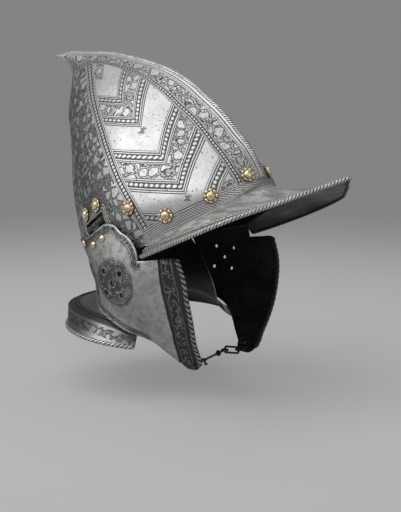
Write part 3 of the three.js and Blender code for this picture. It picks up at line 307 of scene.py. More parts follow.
def crease_height(forward):
    t = (forward - BRIM_REAR) / (FOOT_FRONT - BRIM_REAR)
    return mix(BRIM_REAR_HEIGHT, FOOT_HEIGHT, t) - CREASE_DIP * t * t * (1 - t) / CREASE_DIP_PEAK


def lower_edge(forward):
    """Height of the skull's lower edge in side view."""
    nape = mix(NAPE_EDGE[1], EAR_EDGE[1], np.clip((forward - NAPE_EDGE[0]) / (EAR_EDGE[0] - NAPE_EDGE[0]), 0, 1))
    ear = np.clip((forward - EAR_EDGE[0]) / (BRIM_REAR - EAR_EDGE[0]), 0, 1)
    behind = mix(nape, BRIM_REAR_HEIGHT - PLATE, ear)
    return np.where(forward > BRIM_REAR, crease_height(np.minimum(forward, FOOT_FRONT)) - PLATE, behind)


def cheek_half(forward, up):
    """Half width between the cheekpieces at a place in side view."""
    share = up / CHEEK_DROP
    off = forward - CHEEK_BULGE(share) * CHEEK_REACH
    radius = np.where(off > 0, CHEEK_FRONT_RADIUS, CHEEK_REAR_RADIUS)
    along = (forward - CHEEK_FLARE_PLACE[0]) * math.sin(CHEEK_FLARE_SLOPE)
    away = along + (up - CHEEK_FLARE_PLACE[1]) * math.cos(CHEEK_FLARE_SLOPE)
    t = np.clip((forward - CHEEK_FLARE_END) / CHEEK_FLARE_FADE, 0, 1)
    flare = CHEEK_FLARE * (1 - t * t * (3 - 2 * t)) * np.exp(-np.maximum(away / CHEEK_FLARE_LENGTH, -1 / 2))
    return CHEEK_WIDTH(share) * CHEEK_HALF_WIDTH - off * off / (2 * radius) + flare


def outward(half, forward, up, side):
    """Outward normal of a plate that is a graph over the side view, in the frame's axes."""
    step = PLATE / 4
    slope_forward = (half(forward + step, up) - half(forward - step, up)) / (2 * step)
    slope_up = (half(forward, up + step) - half(forward, up - step)) / (2 * step)
    return unit(np.stack(np.broadcast_arrays(side, slope_forward, -slope_up), -1).astype(float))


def spline(points, count):
    """Uniform curve through points, with so many steps between each pair."""
    points = np.asarray(points, float)
    last = len(points) - 1
    out = []
    for i in range(last):
        a, b, c, d = points[max(i - 1, 0)], points[i], points[i + 1], points[min(i + 2, last)]
        out += [hermite(b, c, (c - a) / 2, (d - b) / 2, t) for t in np.arange(count) / count]
    out.append(points[-1])
    return np.array(out)


def in_reach(shares):
    return [(forward * CHEEK_REACH, up * CHEEK_DROP) for forward, up in shares]


def hinge_place(along, across):
    """Forward and up of a place along the hinge and across it, downward."""
    cos, sin = math.cos(HINGE_SLOPE), math.sin(HINGE_SLOPE)
    return HINGE_PLACE[0] + cos * along + sin * across, HINGE_PLACE[1] + sin * along - cos * across


def hinge_local(forward, up):
    """Place along the hinge and across it, downward."""
    cos, sin = math.cos(HINGE_SLOPE), math.sin(HINGE_SLOPE)
    ahead, above = forward - HINGE_PLACE[0], up - HINGE_PLACE[1]
    return cos * ahead + sin * above, sin * ahead - cos * above


def arc_length(points):
    return np.concatenate([[0], np.cumsum(np.linalg.norm(np.diff(points, axis=0), axis=1))])


def nearest_on(line, forward, up):
    """Distance from each place to a side-view line, and how far along the line that is."""
    places = np.stack([forward, up], -1)
    runs = arc_length(line)
    best = np.full(len(places), np.inf)
    run = np.zeros(len(places))
    for a, b, start, end in zip(line, line[1:], runs, runs[1:]):
        span = b - a
        t = np.clip((places - a) @ span / (span @ span), 0, 1)
        gap = np.linalg.norm(places - a - t[:, None] * span, axis=1)
        closer = gap < best
        best = np.where(closer, gap, best)
        run = np.where(closer, mix(start, end, t), run)
    return best, run


# Meshes
WIRE_SIDES = 14
ROPE_SIDES = 18
ROPE_STEP = 0.55
STRAND_ROUNDNESS = 0.7
# Share of a tube's radius at which its rounded end starts
END_SHARE = 0.04
# Painted shade on a roped edge: it darkens where it turns from the light side, from this cosine, over that much of it
PAINTED_SHADE_START = 0.1
PAINTED_SHADE_FADE = 0.35
SKEWED = (0.31, 0.52, 0.79)
UP = np.array([0, 0, 1.0])
LEVEL = np.array([1, 1, 0])


def new_piece(name, points, faces, materials, kinds=None, smooth=True):
    """Object from points and faces, with a kind of material for each face."""
    mesh = bpy.data.meshes.new(name)
    mesh.from_pydata(np.asarray(points).reshape(-1, 3).tolist(), [], [list(map(int, face)) for face in faces])
    for material in materials:
        mesh.materials.append(material)
    if kinds is not None:
        mesh.polygons.foreach_set("material_index", np.asarray(kinds, np.int32))
    mesh.polygons.foreach_set("use_smooth", np.full(len(mesh.polygons), smooth))
    mesh.update()
    piece = bpy.data.objects.new(name, mesh)
    bpy.context.scene.collection.objects.link(piece)
    return piece


def grid_faces(rows, columns, start=0, flip=False, wrap=False):
    """Quads of a grid of points; the columns join up where it wraps."""
    r, c = np.meshgrid(np.arange(rows - 1), np.arange(columns if wrap else columns - 1), indexing="ij")
    r, c = r.ravel(), c.ravel()
    after = (c + 1) % columns
    quads = np.stack([r * columns + c, r * columns + after, (r + 1) * columns + after, (r + 1) * columns + c], -1)
    return (quads[:, ::-1] if flip else quads) + start


def capped_faces(rows, columns):
    """Faces of a tube whose two ends are closed."""
    ring = np.arange(columns)
    return [*grid_faces(rows, columns, wrap=True), ring[::-1], ring + (rows - 1) * columns]


def grid_normals(grid, wrap=False):
    """Unit normals of a grid of points."""
    along = np.roll(grid, -1, 1) - np.roll(grid, 1, 1) if wrap else np.gradient(grid, axis=1)
    normal = np.cross(along, np.gradient(grid, axis=0))
    return normal / np.maximum(np.linalg.norm(normal, axis=-1, keepdims=True), 1e-12)


def shell(name, outside, inside, materials, wrap=False):
    """Plate between two like grids: the outside, the inside and the edge between them."""
    rows, columns = outside.shape[:2]
    count = rows * columns
    outer = grid_faces(rows, columns, wrap=wrap)
    inner = grid_faces(rows, columns, start=count, flip=True, wrap=wrap)
    index = np.arange(count).reshape(rows, columns)
    borders = [index[0], index[-1][::-1]]
    if not wrap:
        borders = [index[0], index[:, -1], index[-1][::-1], index[::-1, 0]]
    edge = []
    for border in borders:
        line = np.append(border, border[0]) if wrap else border
        edge += [[b, a, a + count, b + count] for a, b in zip(line, line[1:])]
    kinds = np.concatenate([np.zeros(len(outer)), np.ones(len(inner)), np.zeros(len(edge))])
    points = np.concatenate([outside.reshape(-1, 3), inside.reshape(-1, 3)])
    piece = new_piece(name, points, [*outer, *inner, *edge], materials, kinds)
    turn_outward(piece)
    return piece


def turn_outward(piece):
    """Makes the faces of a closed piece look out."""
    work = bmesh.new()
    work.from_mesh(piece.data)
    bmesh.ops.recalc_face_normals(work, faces=work.faces)
    work.to_mesh(piece.data)
    work.free()


def set_fields(piece, **fields):
    """Keeps a number for each point under each name, which the finishes read."""
    for name, values in fields.items():
        attribute = piece.data.attributes.new(name, "FLOAT", "POINT")
        attribute.data.foreach_set("value", np.asarray(values, np.float32).ravel())


def points_of(piece):
    points = np.zeros(len(piece.data.vertices) * 3)
    piece.data.vertices.foreach_get("co", points)
    return points.reshape(-1, 3)


def turn_angles(count):
    """So many even turns of a full circle."""
    return np.linspace(0, 2 * math.pi, count, endpoint=False)


def rings_about(x, y, turns):
    """Unit circles, one for each row of two square directions."""
    return np.cos(turns)[None, :, None] * x[:, None] + np.sin(turns)[None, :, None] * y[:, None]


def tube_frames(path):
    """Two square directions along a path, carried along without twist."""
    tangents = np.gradient(path, axis=0)
    tangents /= np.linalg.norm(tangents, axis=1, keepdims=True)
    normal = np.cross(tangents[0], SKEWED)
    normals = []
    for tangent in tangents:
        normal = unit(normal - tangent * (normal @ tangent))
        normals.append(normal)
    normals = np.array(normals)
    return normals, np.cross(tangents, normals)


def even_path(points, step):
    """The same path with even steps."""
    runs = arc_length(points)
    places = np.linspace(0, runs[-1], max(int(runs[-1] / step), 2) + 1)
    return np.stack([np.interp(places, runs, points[:, k]) for k in range(3)], -1)


def rounded_ends(runs, radius):
    """Share of a tube's radius at each run along it, so that it ends in half balls."""
    near = np.minimum(runs, runs[-1] - runs) / radius
    return np.sqrt(np.clip(1 - (1 - np.clip(near, END_SHARE, 1)) ** 2, 0, 1))


def tube(name, path, radius, material):
    """Round wire along a path in metres, with rounded ends."""
    rings = rings_about(*tube_frames(path), turn_angles(WIRE_SIDES))
    size = radius * rounded_ends(arc_length(path), radius)
    points = path[:, None] + rings * size[:, None, None]
    piece = new_piece(name, points, capped_faces(len(path), WIRE_SIDES), [material])
    turn_outward(piece)
    return piece


def rope(name, points, radius, pitch, depth, finish="rope", strands=3, hand=1, face=None):
    """Roped edge: a roll with twisted strands; fields keep its grooves and what looks away from the given side, which
    the finish darkens as painted shade.
    """
    path = even_path(points, ROPE_STEP * MM)
    turns = turn_angles(ROPE_SIDES)
    runs = arc_length(path) / MM
    phase = hand * strands * turns[None] / 2 + math.pi * runs[:, None] / pitch
    ridge = np.abs(np.sin(phase)) ** STRAND_ROUNDNESS
    size = radius * MM * rounded_ends(runs, radius)[:, None] * (1 - depth + depth * ridge)
    rings = rings_about(*tube_frames(path), turns)
    points = path[:, None] + rings * size[..., None]
    piece = new_piece(name, points, capped_faces(len(path), ROPE_SIDES), [finish_of(finish)])
    set_fields(piece, ridge=ridge)
    if face is not None:
        toward = np.einsum("ijk,ik->ij", rings, np.broadcast_to(face(path), path.shape))
        # Painted shade on the side turned away from the light
        set_fields(piece, back=np.clip((PAINTED_SHADE_START - toward) / PAINTED_SHADE_FADE, 0, 1))
    turn_outward(piece)
    return piece


def join(name, parts):
    """One piece from several."""
    bpy.ops.object.select_all(action="DESELECT")
    for part in parts:
        part.select_set(True)
    bpy.context.view_layer.objects.active = parts[0]
    bpy.ops.object.join()
    parts[0].name = name
    parts[0].data.name = name
    return parts[0]


# Nodes
def add_node(tree, kind, inputs=None, **settings):
    """A node with its settings, and with a value or a link on each input named."""
    node = tree.nodes.new(kind)
    for name, value in settings.items():
        setattr(node, name, value)
    for name, value in (inputs or {}).items():
        if isinstance(value, bpy.types.NodeSocket):
            tree.links.new(value, node.inputs[name])
        else:
            node.inputs[name].default_value = value
    return node


def colour_between(tree, share, first, second):
    """A colour between two, by a share."""
    node = add_node(tree, "ShaderNodeMix", {"Factor": share}, data_type="RGBA")
    for socket, colour in zip([socket for socket in node.inputs if socket.type == "RGBA"], (first, second)):
        if isinstance(colour, bpy.types.NodeSocket):
            tree.links.new(colour, socket)
        else:
            socket.default_value = (*colour, 1)
    return next(socket for socket in node.outputs if socket.type == "RGBA")


class Field:
    """A number that varies over a surface: arithmetic on it adds nodes."""

    def __init__(self, tree, socket):
        self.tree = tree
        self.socket = socket

    def math(self, operation, *others):
        values = [value.socket if isinstance(value, Field) else value for value in (self, *others)]
        node = add_node(self.tree, "ShaderNodeMath", dict(enumerate(values)), operation=operation)
        return Field(self.tree, node.outputs[0])

    def __add__(self, other):
        return self.math("ADD", other)

    def __sub__(self, other):
        return self.math("SUBTRACT", other)

    def __rsub__(self, other):
        return (self * -1) + other

    def __mul__(self, other):
        return self.math("MULTIPLY", other)

    def __truediv__(self, other):
        return self.math("DIVIDE", other)

    __radd__ = __add__
    __rmul__ = __mul__

    def size(self):
        return self.math("ABSOLUTE")

    def most(self, other):
        return self.math("MAXIMUM", other)

    def least(self, other):
        return self.math("MINIMUM", other)

    def wrapped(self, pitch):
        """Distance from the nearest of a row of evenly spaced places."""
        return (self.math("WRAP", pitch, 0) - pitch / 2).size()

    def above(self, low, high):
        """Smoothly 0 under low and 1 over high."""
        inputs = {"Value": self.socket, "From Min": low, "From Max": high}
        node = add_node(self.tree, "ShaderNodeMapRange", inputs, interpolation_type="SMOOTHSTEP")
        return Field(self.tree, node.outputs["Result"])

    def below(self, low, high):
        return 1 - self.above(low, high)

    def within(self, low, high, soft):
        return self.above(low - soft, low + soft) * self.below(high - soft, high + soft)

    def near(self, place, width, soft=0.35):
        """A line of that half width at a place."""
        return (self - place).size().below(width * (1 - soft), width * (1 + soft))


def blend(share, low, high):
    """Number between two, by a share."""
    return share * (high - low) + low


def distance(across, along):
    return (across * across + along * along).math("SQRT")


def either(*shares):
    total = shares[0]
    for share in shares[1:]:
        total = total.most(share)
    return total


def lines(field, rows):
    """Lines along a field, from rows of place and half width."""
    return either(*[field.near(place, width) for place, width in rows])


def beads(run, across, place, pitch, radius, across_scale=1.0, lean=0.0):
    """A row of beads along a line, as a share."""
    v = (across - place) * across_scale
    return distance((run + v * lean).wrapped(pitch), v).below(radius * 0.72, radius * 1.22)


class Finish:
    """A material made of nodes, in millimetres of the drafting frame."""

    def __init__(self, name):
        self.material = bpy.data.materials.new(name)
        self.material.use_nodes = True
        self.tree = self.material.node_tree
        self.shader = self.tree.nodes["Principled BSDF"]
        place = self.add("ShaderNodeTexCoord").outputs["Object"]
        self.place = self.add("ShaderNodeVectorMath", {0: place, "Scale": 1 / MM}, operation="SCALE").outputs[0]

    def add(self, kind, inputs=None, **settings):
        return add_node(self.tree, kind, inputs, **settings)

    def field(self, name):
        return Field(self.tree, self.add("ShaderNodeAttribute", attribute_name=name).outputs["Fac"])

    def noise(self, grain, detail=3, rough=0.55, stretch=None, place=None):
        """Cloudy noise whose patches are about so many millimetres across."""
        place = place or self.place
        if stretch:
            place = self.add("ShaderNodeMapping", {"Vector": place, "Scale": stretch}).outputs[0]
        inputs = {"Vector": place, "Scale": 1 / grain, "Detail": detail, "Roughness": rough}
        return Field(self.tree, self.add("ShaderNodeTexNoise", inputs).outputs["Fac"])

    def curls(self, grain, detail, low, high, place=None):
        """Thin curling lines: dark where a noise crosses its middle."""
        return (self.noise(grain, detail, 0.4 if detail == 1 else 0.5, place=place) - 0.5).size().above(low, high)

    def warped(self, amount, grain):
        """The surface's place, moved about so that patterns run in curves."""
        noise = self.add("ShaderNodeTexNoise", {"Vector": self.place, "Scale": 1 / grain, "Detail": 1})
        inputs = {0: noise.outputs["Color"], 1: (0.5, 0.5, 0.5)}
        centred = self.add("ShaderNodeVectorMath", inputs, operation="SUBTRACT").outputs[0]
        inputs = {0: centred, 1: (amount, amount, amount), 2: self.place}
        return self.add("ShaderNodeVectorMath", inputs, operation="MULTIPLY_ADD").outputs[0]

    def cells(self, grain, place=None):
        """Distance to the edge of uneven cells, as a share of their size."""
        inputs = {"Vector": place or self.place, "Scale": 1 / grain}
        node = self.add("ShaderNodeTexVoronoi", inputs, feature="DISTANCE_TO_EDGE")
        return Field(self.tree, node.outputs["Distance"])

    def cell_tone(self, grain, place):
        """A tone of its own for each of those cells."""
        node = self.add("ShaderNodeTexVoronoi", {"Vector": place, "Scale": 1 / grain})
        return Field(self.tree, node.outputs["Color"])

    def tint(self, share, dark, light):
        return colour_between(self.tree, share.socket, dark, light)

    def finish(self, colour, rough, metallic, bump, depth, specular=0.5):
        """Puts colour, roughness, metal and relief on the surface."""
        sockets = self.shader.inputs
        self.tree.links.new(colour, sockets["Base Color"])
        self.tree.links.new(rough.socket, sockets["Roughness"])
        sockets["Metallic"].default_value = metallic
        sockets["Specular IOR Level"].default_value = specular
        relief = self.add("ShaderNodeBump", {"Strength": 1, "Distance": depth * MM, "Height": bump.socket})
        self.tree.links.new(relief.outputs["Normal"], sockets["Normal"])
        return self.material


# Finishes
PLAIN_STEEL = (0.70, 0.695, 0.68)
DULL_STEEL = (0.42, 0.42, 0.42)
GROUND = (0.055, 0.055, 0.059)
MOTIF = (0.71, 0.705, 0.69)
PIT = (0.12, 0.118, 0.11)
# Near-black toward which painted shade darkens the steel
PAINTED_SHADE_COLOUR = (0.03, 0.03, 0.033)
BRIM_DULL = (0.26, 0.26, 0.26)
BRIM_BRIGHT = (0.93, 0.925, 0.91)
BRIM_GROUND = (0.10, 0.10, 0.105)
ROPE_DARK = (0.035, 0.035, 0.037)
GILT_WORN = (0.58, 0.45, 0.28)
GILT = (0.97, 0.83, 0.60)
GILT_DEEP = (0.06, 0.045, 0.032)
LEATHER_DARK = (0.018, 0.013, 0.009)
LEATHER = (0.06, 0.042, 0.028)
STEEL_METAL = 0.85
# Brightness that the ground keeps between the beads and lines of a border
CHEVRON_FLOOR = 0.11
BORDER_FLOOR = 0.09
BEAD_PITCH = 3.9
BEAD_RADIUS = 1.5

# Lines: place and half width, in shares of the comb's band, of a chevron's band and of the brow's band,
# and in millimetres from the side border, the hinge slot, and the edges of the brim, lobe, ring and guard
COMB_LINES = ((0.835, 0.014), (0.885, 0.012), (1.11, 0.013), (1.165, 0.017))
CREST_GROOVES = ((0.085, 0.018), (-0.03, 0.03))
COMB_END = (1.2, 1.215)
CHEVRON_BANDS = ((-96, -78), (-48.8, -7.3), (17.6, 56.3), (72, 110))
CHEVRON_LINES = ((0.026, 0.014), (0.078, 0.011), (0.25, 0.014), (0.293, 0.009), (0.69, 0.014), (0.738, 0.009),
                 (0.908, 0.013), (0.962, 0.013))
CHEVRON_BEADS = ((0.156, 0.35), (0.818, 0.0))
SIDE_LINES = ((5.6, 0.5), (3.9, 0.42), (-2.8, 0.42), (-4.4, 0.46))
BROW_LINES = ((0.89, 0.04), (1.05, 0.035), (0.16, 0.04), (0.0, 0.06))
SLOT_LINES = ((3.3, 0.7), (5.6, 0.5))
LOBE_LINES = ((6.6, 0.35), (8.2, 0.35))
REAR_LINES = ((1.8, 0.35), (3.4, 0.35), (5.0, 0.35))
RING_LINES = ((23.4, 0.55), (21.4, 0.4))
GUARD_LINES = ((-1.6, 0.35), (-4.0, 0.35), (-6.4, 0.35), (-10.2, 0.35), (-12.6, 0.35))


def patina(f):
    """Clouded steel: a share from dull to bright, and pits."""
    clouds = f.noise(24, 4, 0.6).above(0.36, 0.66)
    fine = f.noise(3.2, 3, 0.6).above(0.35, 0.7)
    pits = f.noise(2.0, 2, 0.5).above(0.62, 0.72)
    return blend(clouds, 0.62, 1.0) * blend(fine, 0.78, 1.0), pits


def foliage(f, grain, ground=0.3, sway=0.5):
    """Etched leafwork: outlined bright leaves over small curls on a grey ground, as a share of brightness."""
    place = f.warped(grain * sway, grain * 0.8)
    gap = f.cells(grain, place) + (f.noise(grain * 0.28, 2, 0.5) - 0.5) * 0.16
    tone = f.cell_tone(grain, place)
    leaf = gap.above(0.135, 0.165) * tone.above(0.24, 0.27)
    body = blend(f.curls(grain * 0.4, 1, 0.006, 0.035, place), 0.8, 1.0) * blend(tone, 0.84, 1.0)
    curls = blend(f.curls(grain * 0.21, 1, 0.02, 0.07, place), ground * 0.25, ground * 2.2)
    return blend(leaf, curls, body) * (1 - gap.near(0.11, 0.034) * 0.85)


def layered(layers):
    """Zones with their motifs, each laid over those before it: where the steel is etched, and how bright."""
    etched, motif = layers[0][0], layers[0][0] * layers[0][1]
    for zone, pattern in layers[1:]:
        etched = etched.most(zone)
        motif = (motif * (1 - zone)).most(pattern * zone)
    return etched, motif


def side_by_side(layers):
    """Zones with their motifs, where the brighter one shows: where the steel is etched, and how bright."""
    return either(*[zone for zone, _ in layers]), either(*[zone * pattern for zone, pattern in layers])


def steel_look(f, etched, motif, shade, bright=1.0, dull=1.0, relief=0.12):
    """Etched steel: where etched, the motif is bright on a dark ground, and elsewhere the plate is plain. Painted
    shade darkens the whole toward near-black where the shade share is under one, and bright scales the steel's
    brightness, which can carry painted light.
    """
    cloud, pits = patina(f)
    plain = f.tint(cloud * bright, tuple(c * dull for c in DULL_STEEL), PLAIN_STEEL)
    worked = f.tint(motif * blend(cloud, 0.7, 1.0) * bright, GROUND, MOTIF)
    colour = f.tint(pits * 0.7, f.tint(etched, plain, worked), PIT)
    sunk = etched * (1 - motif)
    rough = blend(sunk, 0.42, 0.62) + pits * 0.2 + (1 - cloud) * 0.08
    # Painted shade: the colour mixes toward near-black by the shade share
    return f.finish(f.tint(shade, PAINTED_SHADE_COLOUR, colour), rough, STEEL_METAL, 1 - sunk - pits * 0.8, relief)


def comb_band(f, leaves):
    """Band between the crest and its bead border."""
    comb = f.field("comb")
    crest = comb.below(0.14, 0.15) * (1 - lines(comb, CREST_GROOVES) * 0.8)
    row = beads(f.field("comb_run"), comb, 1.0, BEAD_PITCH, 1.55, across_scale=33)
    return comb.below(*COMB_END), either(leaves * comb.within(0.15, 0.80, 0.01), crest, lines(comb, COMB_LINES), row)


def chevron_bands(f, leaves):
    """Bent bands whose lower legs run forward and whose upper legs run up."""
    lower, upper = f.field("chevron_lower"), f.field("chevron_upper")
    on_lower = (lower - upper).above(-0.5, 0.5)
    run = on_lower * f.field("forward") * 0.72 + (1 - on_lower) * f.field("up")
    layers = []
    for first, last in CHEVRON_BANDS:
        share = (lower.most(upper) - first) / (last - first)
        rows = [beads(run, share, place, 3.75, BEAD_RADIUS, 38, lean) for place, lean in CHEVRON_BEADS]
        motif = either(*rows, lines(share, CHEVRON_LINES), leaves * share.within(0.32, 0.665, 0.008))
        layers.append((share.within(0, 1, 0.006), motif.most(CHEVRON_FLOOR)))
    return side_by_side(layers)


def chevron_finials(f):
    """Small crosses at the points of two chevrons."""
    crosses = []
    for ahead, height in CHEVRON_FINIALS:
        a, b = f.field("forward") - ahead, f.field("up") - height
        arms = (a + b).size().least((a - b).size()).least(a.size() * 1.8).below(0.7, 1.5)
        crosses.append(arms * distance(a, b).below(3.0, 4.4) * 0.7)
    return either(*crosses)


def brow_band(f):
    """Hatched band over the brim."""
    crease = f.field("crease")
    hatch = blend((f.field("crease_run") + crease * 4.5).wrapped(2.0).above(0.1, 0.6), 0.15, 1.0)
    motif = either(hatch * crease.within(0.24, 0.80, 0.02) * 0.85, lines(crease, BROW_LINES))
    return crease.below(1.1, 1.13) * f.field("forward").above(18, 20), motif


def skull_finish():
    """Etched skull: comb band, chevrons, side border, foliage behind and hatched band over the brim, with painted
    shade that darkens it toward the rear.
    """
    f = Finish("etched_skull_steel")
    side, slot = f.field("side"), f.field("slot")
    leaves = foliage(f, 10.5, ground=0.36)
    scroll = foliage(f, 8.8, ground=0.2, sway=0.8)
    comb_zone, comb_motif = comb_band(f, leaves)
    off_comb = 1 - comb_zone
    chevron_zone, chevron_motif = chevron_bands(f, leaves)
    border = either(lines(side, SIDE_LINES), beads(f.field("side_run"), side, 0.5, BEAD_PITCH, BEAD_RADIUS))
    frame_zone = slot.below(6.6, 6.8)
    etched, motif = layered((
        (comb_zone, comb_motif), (chevron_zone * side.above(6.1, 6.4) * off_comb, chevron_motif),
        (side.within(-5.1, 6.4, 0.15) * off_comb, border.most(BORDER_FLOOR)),
        (side.below(-5.1, -4.7) * off_comb, scroll), brow_band(f),
        (frame_zone, either(slot.below(1.5, 1.7), lines(slot, SLOT_LINES)))))
    # Painted shade: darker toward the rear, behind the side border; the slot's frame keeps its full brightness
    shade = 1 - side.below(-46, -18) * 0.35
    return steel_look(f, either(etched, chevron_finials(f)), motif, shade.most(frame_zone))


def brim_finish():
    """Etched brim top: streaked plate that painted light brightens toward its root, a hatched strip and lines beside
    the roped edge.
    """
    f = Finish("etched_brim_steel")
    edge = f.field("edge")
    cloud, pits = patina(f)
    streaks = f.noise(7, 4, 0.65, stretch=(0.6, 0.16, 1)).above(0.43, 0.58)
    swirl = f.curls(9, 2, 0.008, 0.03, f.warped(7, 10))
    # Painted light: the plain plate brightens away from the edge, toward the root.
    share = cloud * blend(streaks, 0.25, 1.0) * blend(swirl, 0.45, 1.0) * blend(edge.above(9, 26), 0.85, 1.0)
    hatch = blend((f.field("run") + edge * 1.1).wrapped(3.8).above(0.5, 1.2), 0.08, 1.0)
    motif = either(edge.near(12.4, 0.7), hatch * edge.within(3.4, 9.6, 0.3))
    etched = edge.below(13.8, 14.2)
    colour = f.tint(etched, f.tint(share, BRIM_DULL, BRIM_BRIGHT), f.tint(motif, BRIM_GROUND, MOTIF))
    sunk = etched * (1 - motif)
    rough = blend(sunk, 0.42, 0.6) + pits * 0.15
    return f.finish(f.tint(pits * 0.6, colour, PIT), rough, STEEL_METAL, 1 - sunk - pits * 0.8, 0.15)


def rope_finish(name="roped_edge_steel", light=(0.72, 0.715, 0.70), low=0.3):
    """Roped edge: dark in its grooves, and dark on its back as painted shade."""
    f = Finish(name)
    worn = f.noise(4, 3, 0.6).above(0.3, 0.7)
    # The back field darkens the rope as painted shade.
    share = f.field("ridge").above(low, 0.92) * blend(worn, 0.62, 1.0) * (1 - f.field("back") * 0.95)
    return f.finish(f.tint(share, ROPE_DARK, light), blend(share, 0.6, 0.36), STEEL_METAL, f.noise(1.6, 2, 0.5), 0.06)


def dark_rope_finish():
    return rope_finish("dull_roped_edge_steel", (0.40, 0.40, 0.39), 0.5)


def ear_ornament(f):
    """Round ornament over the hearing holes: two lines, a fan of gadroons, florets, and a ring about each hole."""
    ring, hole, fan = f.field("ring"), f.field("hole"), f.field("gadroon")
    gadroon = (f.field("ring_turn") * 8).wrapped(1.0).above(0.12, 0.3) * ring.within(15.5, 21.0, 0.3) * fan
    florets = foliage(f, 5.0, ground=0.16) * ring.below(20.2, 20.8) * hole.above(4.8, 5.2)
    florets = florets * (1 - fan * ring.above(15.2, 15.6))
    return ring.below(24.3, 24.8), either(lines(ring, RING_LINES), gadroon, hole.near(3.9, 0.6), florets)


def cheek_finish():
    """Pitted cheek plate with an etched lobe border, rear border, ear ornament and front band, with painted light
    that brightens its top and painted shade that darkens its rear.
    """
    f = Finish("etched_cheek_steel")
    lobe, rear, band = f.field("lobe"), f.field("rear"), f.field("band")
    specks = f.cells(1.9).above(0.10, 0.2) * lobe.within(2.6, 5.8, 0.2) * 0.55
    curls = 1 - f.curls(6.5, 1, 0.03, 0.06, f.warped(6, 9))
    scroll = either(
        curls * band.within(0.30, 0.84, 0.02) * 0.5, band.near(0.24, 0.018) * 0.5, band.near(0.91, 0.02) * 0.6)
    etched, motif = side_by_side((
        (lobe.within(0.2, 9.2, 0.2), either(lobe.below(2.0, 2.3), lines(lobe, LOBE_LINES), specks)),
        (rear.within(1.0, 5.8, 0.2), lines(rear, REAR_LINES)),
        ear_ornament(f), (band.within(0.06, 1.6, 0.012), scroll)))
    worn = f.noise(7, 5, 0.72).above(0.36, 0.6)
    # Painted light: the plate brightens toward the top, mottled by wear.
    painted_light_and_wear = blend(f.field("up").above(-64, -40), 0.62, 1.5) * blend(worn, 0.3, 1.0)
    # Painted shade: the plate darkens toward the rear.
    shade = blend(f.field("forward").above(-66, -14), 0.36, 1.0)
    return steel_look(f, etched, motif.most(band.near(0.03, 0.03)), shade, bright=painted_light_and_wear, dull=0.66, relief=0.16)


def guard_finish():
    """Etched neck guard: rings over the crease and foliage on the outer band, with painted shade that darkens it,
    most toward the rear.
    """
    f = Finish("etched_guard_steel")
    fall = f.field("fall")
    band = fall.within(2.4, 13.0, 0.3)
    etched = either(band, fall.within(-13.4, -0.6, 0.2))
    motif = either(lines(fall, GUARD_LINES), foliage(f, 8.5) * band * 0.95, fall.near(1.4, 0.35))
    # Painted shade: darker toward the rear, and a little darker all over.
    shade = blend(f.field("forward").above(-56, -26), 0.22, 0.8)
    return steel_look(f, etched, motif, shade, bright=0.75, dull=0.8)


def gilt_finish():
    """Worn gilding, dark in its hollows."""
    f = Finish("worn_gilt")
    worn = f.noise(3.0, 3, 0.6).above(0.36, 0.68)
    deep = f.field("deep")
    colour = f.tint(deep, f.tint(worn, GILT_WORN, GILT), GILT_DEEP)
    return f.finish(colour, blend(worn, 0.44, 0.3) + deep * 0.3, 0.92, f.noise(1.2, 2, 0.5), 0.08)


def leather_finish():
    f = Finish("old_leather")
    grain = f.cells(1.3)
    worn = f.noise(7, 4, 0.6).above(0.35, 0.7)
    colour = f.tint(worn * grain.above(0.02, 0.2), LEATHER_DARK, LEATHER)
    return f.finish(colour, blend(worn, 0.85, 0.66), 0.0, grain.least(0.3), 0.2, specular=0.3)


def clouded_finish(name, clouds, span, dark, light, rough, metal, relief, specular=0.5, stretch=None):
    """Plain worn metal: clouds between two tones over a fine relief."""
    f = Finish(name)
    share = f.noise(*clouds, 0.6, stretch=stretch).above(*span)
    grain, depth = relief
    return f.finish(f.tint(share, dark, light), blend(share, *rough), metal, f.noise(grain, 3, 0.6), depth, specular)


CLOUDED = {
    # Inside of the plates: dull steel, near-black as painted shade.
    "inside": dict(
        name="blackened_inside_steel", clouds=(18, 4), span=(0.35, 0.7), dark=(0.012, 0.012, 0.013),
        light=(0.03, 0.03, 0.031), rough=(0.62, 0.5), metal=0.4, relief=(2.2, 0.12), specular=0.25),
    # Underside of the brim: dull steel, darkened as painted shade.
    "under": dict(
        name="dull_underside_steel", clouds=(16, 4), span=(0.35, 0.7), dark=(0.05, 0.05, 0.052),
        light=(0.11, 0.11, 0.112), rough=(0.6, 0.46), metal=0.75, relief=(2.2, 0.12), stretch=(1, 0.4, 1)),
    "hinge": dict(
        name="worn_hinge_steel", clouds=(3.4, 3), span=(0.35, 0.7), dark=(0.06, 0.06, 0.062),
        light=(0.2, 0.2, 0.196), rough=(0.7, 0.55), metal=0.7, relief=(1.4, 0.1)),
    "iron": dict(
        name="darkened_iron", clouds=(3.4, 3), span=(0.4, 0.72), dark=(0.02, 0.02, 0.021),
        light=(0.12, 0.12, 0.122), rough=(0.6, 0.42), metal=0.8, relief=(1.4, 0.1)),
}
MAKERS = {
    "skull": skull_finish, "brim": brim_finish, "rope": rope_finish, "dark_rope": dark_rope_finish,
    "cheek": cheek_finish, "guard": guard_finish, "gilt": gilt_finish, "leather": leather_finish,
}
FINISHES = {}


def finish_of(name):
    """The finish of that name, made once."""
    if name not in FINISHES:
        FINISHES[name] = clouded_finish(**CLOUDED[name]) if name in CLOUDED else MAKERS[name]()
    return FINISHES[name]


